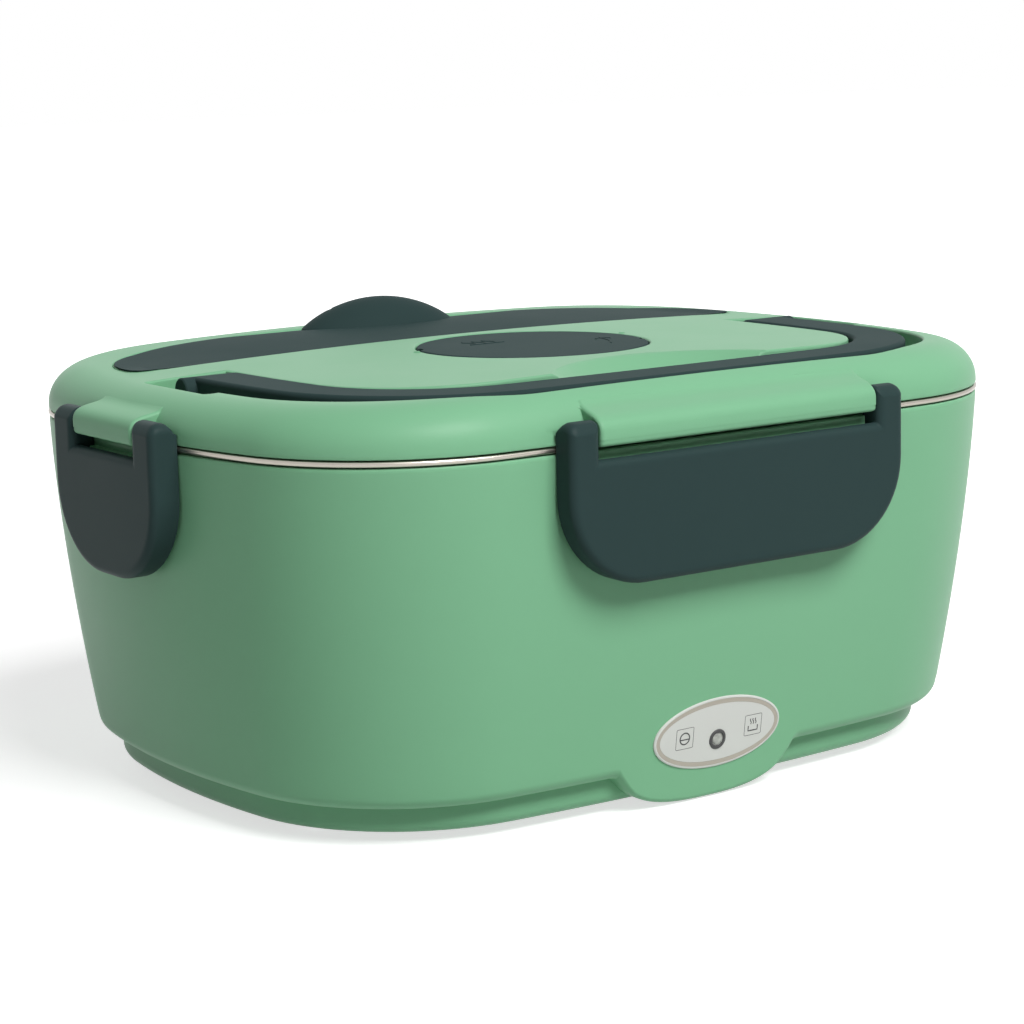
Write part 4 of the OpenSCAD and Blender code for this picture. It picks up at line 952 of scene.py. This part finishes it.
# ---------------------------------------------------------------- latches
# Four slate clips, each hooked over a roll of the lid by two ears. The plate is hollow behind, and a bar
# across its back snaps over the catch on the body.
LATCH_LOW = 61.5
LATCH_TOP = 101.7
LATCH_SLOT = 92.3
LATCH_CORNER = 22.0
EAR_R = 3.3


def lower_corners(g, half):
    """The two round lower corners of a latch, drawn in by g."""
    y = LATCH_LOW + LATCH_CORNER
    r = LATCH_CORNER - g
    return arc(LATCH_CORNER - half, y, r, 180, 270, 16) + arc(half - LATCH_CORNER, y, r, 270, 360, 16)


def latch_outline(g, side):
    """The face of a latch (across, height), drawn in by g all round."""
    tip = max(2.6 - g, 0.3)
    out = side.half - g - tip
    inner = side.half - side.ear + g
    top = LATCH_TOP - g
    slot = LATCH_SLOT - g + 0.4
    pts = lower_corners(g, side.half)
    pts += arc(out, top - tip, tip, 0, 90, 6)
    pts += arc(inner + 0.8, top - 0.8, 0.8, 90, 180, 4)
    pts += arc(inner - 0.4, slot, 0.4, 0, -90, 4)
    pts += arc(0.4 - inner, slot, 0.4, 270, 180, 4)
    pts += arc(-inner - 0.8, top - 0.8, 0.8, 0, 90, 4)
    pts += arc(-out, top - tip, tip, 90, 180, 6)
    return np.array(pts)


def ear_top(depth):
    """How high the ears stand above the axis at a depth behind the latch's face: round about the axis."""
    off = depth - 3.5
    if off <= 0:
        off *= 0.93
    return math.sqrt(max(EAR_R * EAR_R - off * off, 0.02))


for name, turn, side in LATCHES:
    face = -(side.reach + 6.0)
    rings = []
    for depth, g in ((side.depth, 0.5), (side.depth - 0.1, 0.15), (6.75, 0.0), (6.4, 0.0), (6.0, 0.0),
                     (5.4, 0.0), (4.6, 0.0), (3.5, 0.0), (2.5, 0.0), (1.75, 0.0), (1.25, 0.12), (0.8, 0.38),
                     (0.42, 0.75), (0.15, 1.2), (0.03, 1.7), (0.0, 2.4)):
        pts = latch_outline(g, side)
        z = pts[:, 1].copy()
        above = z > HINGE_Z
        z[above] = HINGE_Z + (z[above] - HINGE_Z) / EAR_R * ear_top(depth)
        rings.append(turned(np.column_stack((pts[:, 0], np.full(len(pts), face + depth), z)), turn))
    clip = place_piece(name + "_clip", ring_mesh("latch", rings), name + "_latch", "slate_plastic", slate,
                       "latch_" + name)
    # hollow behind the plate, and open between the ears
    between = side.half - side.ear
    room = between - 0.01
    rings = []
    for depth, g in ((2.2, 3.0), (2.6, 2.4), (9.0, 2.4)):
        w = side.half - g
        pts = lower_corners(g, side.half)
        pts += [(w, 88.0), (room, 88.0), (room, 99.0), (-room, 99.0), (-room, 88.0), (-w, 88.0)]
        pts = np.array(pts)
        rings.append(turned(np.column_stack((pts[:, 0], np.full(len(pts), face + depth), pts[:, 1])), turn))
    cut_away(clip, ring_mesh("pocket", rings))
    # the back follows the bowed body and lid, just clear of them
    cut_away(clip, ring_mesh("trim", [at_level(outline(RIM, -0.4), 50.0), at_level(outline(RIM, -0.4), 99.0),
                                      at_level(outline(RIM, 2.3), 104.0)]))
    hook = [(1.0, 87.5), (4.4, 87.5), (4.4, 89.6), (3.9, 90.1), (1.0, 90.1)]
    add_on(clip, bar(2 * between - 3, hook, (0, face, 0), turn))
    pins = []
    for s in (-1, 1):
        pins.append(ring_mesh("pin", [
            at_hinge(oval(1.5, 1.5, 32), s * x, side, turn) for x in (between + 2, between - 2.9)]))
    add_on(clip, join_meshes("pins", pins))
    even_shading(clip, 38)

# ---------------------------------------------------------------- cutlery cover
# The slate lid of the cutlery compartment: a crowned plate, hinged along its front edge, with an oval
# thumb lift at the back that a fingertip reaches under.
COVER_TOP = 109.05
COVER_UNDER = 107.3


def cover_top(points, dip=0.0):
    """The cover's top: it follows the lid's crown and bulges between its front and back edges."""
    x = points[:, 0] / CROWN_REACH
    y = points[:, 1]
    share = np.clip((y - COVER_FRONT) / 29.5, 0, 1)
    bulge = np.sin(share * math.pi / 2)
    bulge = np.where(y > 57, 1 - ((y - 57) / 26.0) ** 2, bulge)
    return COVER_TOP - 1.5 * x ** 2 + bulge - 0.8 * bulge * x ** 2 - dip


cover_rings = [at_level(cutlery_line(-1.2), COVER_UNDER), at_level(cutlery_line(-0.3), COVER_UNDER),
               at_level(cutlery_line(0.0), COVER_UNDER + 0.3)]
for g, dip in ((0.0, 0.75), (-0.1, 0.4), (-0.35, 0.12), (-0.75, 0.0)):
    line = cutlery_line(g)
    cover_rings.append(at_level(line, np.maximum(cover_top(line, dip), COVER_UNDER + 0.4)))
centre = np.array((0.0, 50.0))
base_line = cutlery_line(-0.75)
for share in (0.94, 0.86, 0.76, 0.65, 0.53, 0.41, 0.29, 0.17, 0.06):
    line = centre + (base_line - centre) * share
    cover_rings.append(at_level(line, cover_top(line)))
cover = place_piece("cutlery_lid_plate", ring_mesh("cutlery_lid_plate", cover_rings), "cutlery_lid",
                    "slate_plastic", slate_matt, "cutlery_cover", angle=40)


DOME_MID = np.array((-0.8, 67.0))
DOME_HALF = 24.2
DOME_DEEP = 13.0


def dome_ring(a, b, z):
    return at_level(oval(a, b, 120) + DOME_MID, z)


dome_rings = [dome_ring(21.0, 10.5, 108.9), dome_ring(23.6, 12.5, 109.0)]
for a in np.radians(np.linspace(0, 87, 26)):
    z = 109.4 + 7.9 * math.sin(a) ** 1.76
    dome_rings.append(dome_ring(DOME_HALF * math.cos(a), DOME_DEEP * math.cos(a), z))
dome_mesh = ring_mesh("dome", dome_rings)
outward(dome_mesh)
dome = loose("dome", dome_mesh)
gap_steps = ((0.0, 105.0), (0.0, 113.9), (-0.3, 114.4), (-1.0, 114.7))
cut_away(dome, ring_mesh("finger_gap", [
    at_level(box_line(-16, 16, 66.0, 90.0, 3.0, g), z) for g, z in gap_steps]))
add_on(cover, dome.data.copy())
bpy.data.objects.remove(dome)
even_shading(cover, 40)

# ---------------------------------------------------------------- steam vent disc
# The round slate plate on the panel that turns to open or shut the steam hole: two notches in its edge
# for the fingertips, and raised steam and arrow signs.
DISC_TOP = 109.2
DISC_ROUND = 0.6


def disc_ring(radius, z):
    return at_level(circle_at(*DISC_MID, radius, 144), z)


disc_rings = [disc_ring(30.4, 106.55), disc_ring(DISC_R, 106.95)]
for k in range(6):
    a = math.radians(18 * k)
    z = DISC_TOP - DISC_ROUND * (1 - math.sin(a))
    disc_rings.append(disc_ring(DISC_R - DISC_ROUND * (1 - math.cos(a)), z))
for r in (27.0, 22.0, 16.0, 10.0, 4.0):
    disc_rings.append(disc_ring(r, DISC_TOP))
disc = place_piece("vent_plate", ring_mesh("vent_plate", disc_rings), "disc", "slate_plastic", slate_matt,
                   "vent_disc")


def on_disc(radius, degrees, points):
    """Points about a place on the disc, which is given by its distance and direction from the middle."""
    a = math.radians(degrees)
    return DISC_MID + radius * np.array((math.cos(a), math.sin(a))) + np.array(points)


notches = [drum(2.0, 105, 112, on_disc(31.6, degrees, (0, 0)), 32) for degrees in (-22.0, 158.0)]
cut_away(disc, join_meshes("notches", notches))
add_on(disc, drum(4.0, 99.9, 107.0, DISC_MID))
add_on(disc, drum(2.5, 97.8, 100.5, DISC_MID))


def raised_line(points):
    """A raised moulded line of the disc, through points in millimetres."""
    low = DISC_TOP - 0.1
    high = DISC_TOP + 0.16
    along = np.gradient(points, axis=0)
    along /= np.linalg.norm(along, axis=1)[:, None]
    side = np.column_stack((-along[:, 1], along[:, 0])) * 0.35
    rings = []
    for p, s in zip(points, side):
        rings.append(np.array(((*(p + s), low), (*(p + s * 0.7), high), (*(p - s * 0.7), high),
                               (*(p - s), low))))
    return ring_mesh("raised_line", rings)


marks = []
for dx in (-3.2, 0.0, 3.2):
    wave = [(dx + 0.8 * math.sin(t * 6.28), -3.0 + 6.0 * t) for t in np.linspace(0, 1, 17)]
    marks.append(raised_line(on_disc(16.0, 120, wave)))
marks.append(raised_line(on_disc(16.0, 120, [(-5.4, -4.2), (0, -4.2), (5.4, -4.2)])))
marks.append(raised_line(on_disc(0, 0, arc(0, 0, 21.0, -40, -5, 14))))
marks.append(raised_line(on_disc(0, 0, [(18.4, -3.6), (20.9, -1.6), (22.9, -4.4)])))
add_on(disc, join_meshes("marks", marks))
even_shading(disc, 35)

# ---------------------------------------------------------------- heating well and pieces inside
# What the box holds out of sight: the white well under the food tray with its heating plate, the heater,
# its cut-outs and wires, and the pilot lamp's board. These keep the frame's own shapes.


def finish_node(name, material):
    thing = bpy.data.objects[name]
    if not thing.material_slots:
        thing.data.materials.append(material)
    for slot in thing.material_slots:
        slot.material = material


white = moulded_plastic("white_polypropylene", (0.70, 0.70, 0.67), (0.74, 0.74, 0.71), 0.45, 0.3, 0.2)
black = moulded_plastic("black_nylon", (0.018, 0.018, 0.019), (0.025, 0.025, 0.026), 0.46, 0.3, 0.3)
silicone = moulded_plastic("silicone_rubber", (0.60, 0.61, 0.58), (0.64, 0.65, 0.62), 0.55, 0.3, 0.3)
rubber = moulded_plastic("foot_rubber", (0.055, 0.07, 0.065), (0.07, 0.085, 0.08), 0.7, 0.3, 0.6)
zinc = brushed_steel("zinc_plated_steel", (0.60, 0.61, 0.62), 0.32, (1.0, 1.0, 4.0))
cast = brushed_steel("cast_aluminium", (0.70, 0.70, 0.69), 0.5, (1.0, 1.0, 1.0))
brass = brushed_steel("nickel_brass", (0.72, 0.62, 0.38), 0.25, (1.0, 1.0, 6.0))
felt = moulded_plastic("mineral_felt", (0.62, 0.60, 0.52), (0.74, 0.72, 0.64), 0.95, 0.1, 1.0)
board_mat = moulded_plastic("board_laminate", (0.03, 0.14, 0.05), (0.04, 0.18, 0.07), 0.4, 0.4, 0.1)
# the LED's resin has the same painted facet highlight and shade
led_mat = resin_with_painted_facet_light("led_resin", (0.85, 0.36, 0.16))
brown = moulded_plastic("brown_insulation", (0.13, 0.06, 0.03), (0.16, 0.08, 0.04), 0.5, 0.3, 0.2)
blue = moulded_plastic("blue_insulation", (0.03, 0.09, 0.34), (0.04, 0.12, 0.40), 0.5, 0.3, 0.2)
red = moulded_plastic("red_insulation", (0.42, 0.03, 0.02), (0.48, 0.04, 0.03), 0.5, 0.3, 0.2)
finishes = {
    "heating_well": white, "rubber_feet": rubber, "base_screws": zinc, "heating_plate": cast,
    "plate_screws": zinc, "ptc_heater": cast, "heater_clamp": zinc, "clamp_screws": zinc,
    "thermostat": black, "thermal_fuse": white, "fuse_clip": zinc, "insulation_pad": felt,
    "power_inlet": black, "inlet_pins": brass, "lamp_led": led_mat, "lamp_board": board_mat,
    "wire_live": brown, "wire_neutral": blue, "heater_wires": red, "lamp_leads": white,
    "inner_lid": white, "lid_seal": silicone, "vent_washer": silicone, "vent_retainer": slate,
}
for node_name, node_material in finishes.items():
    finish_node(node_name, node_material)
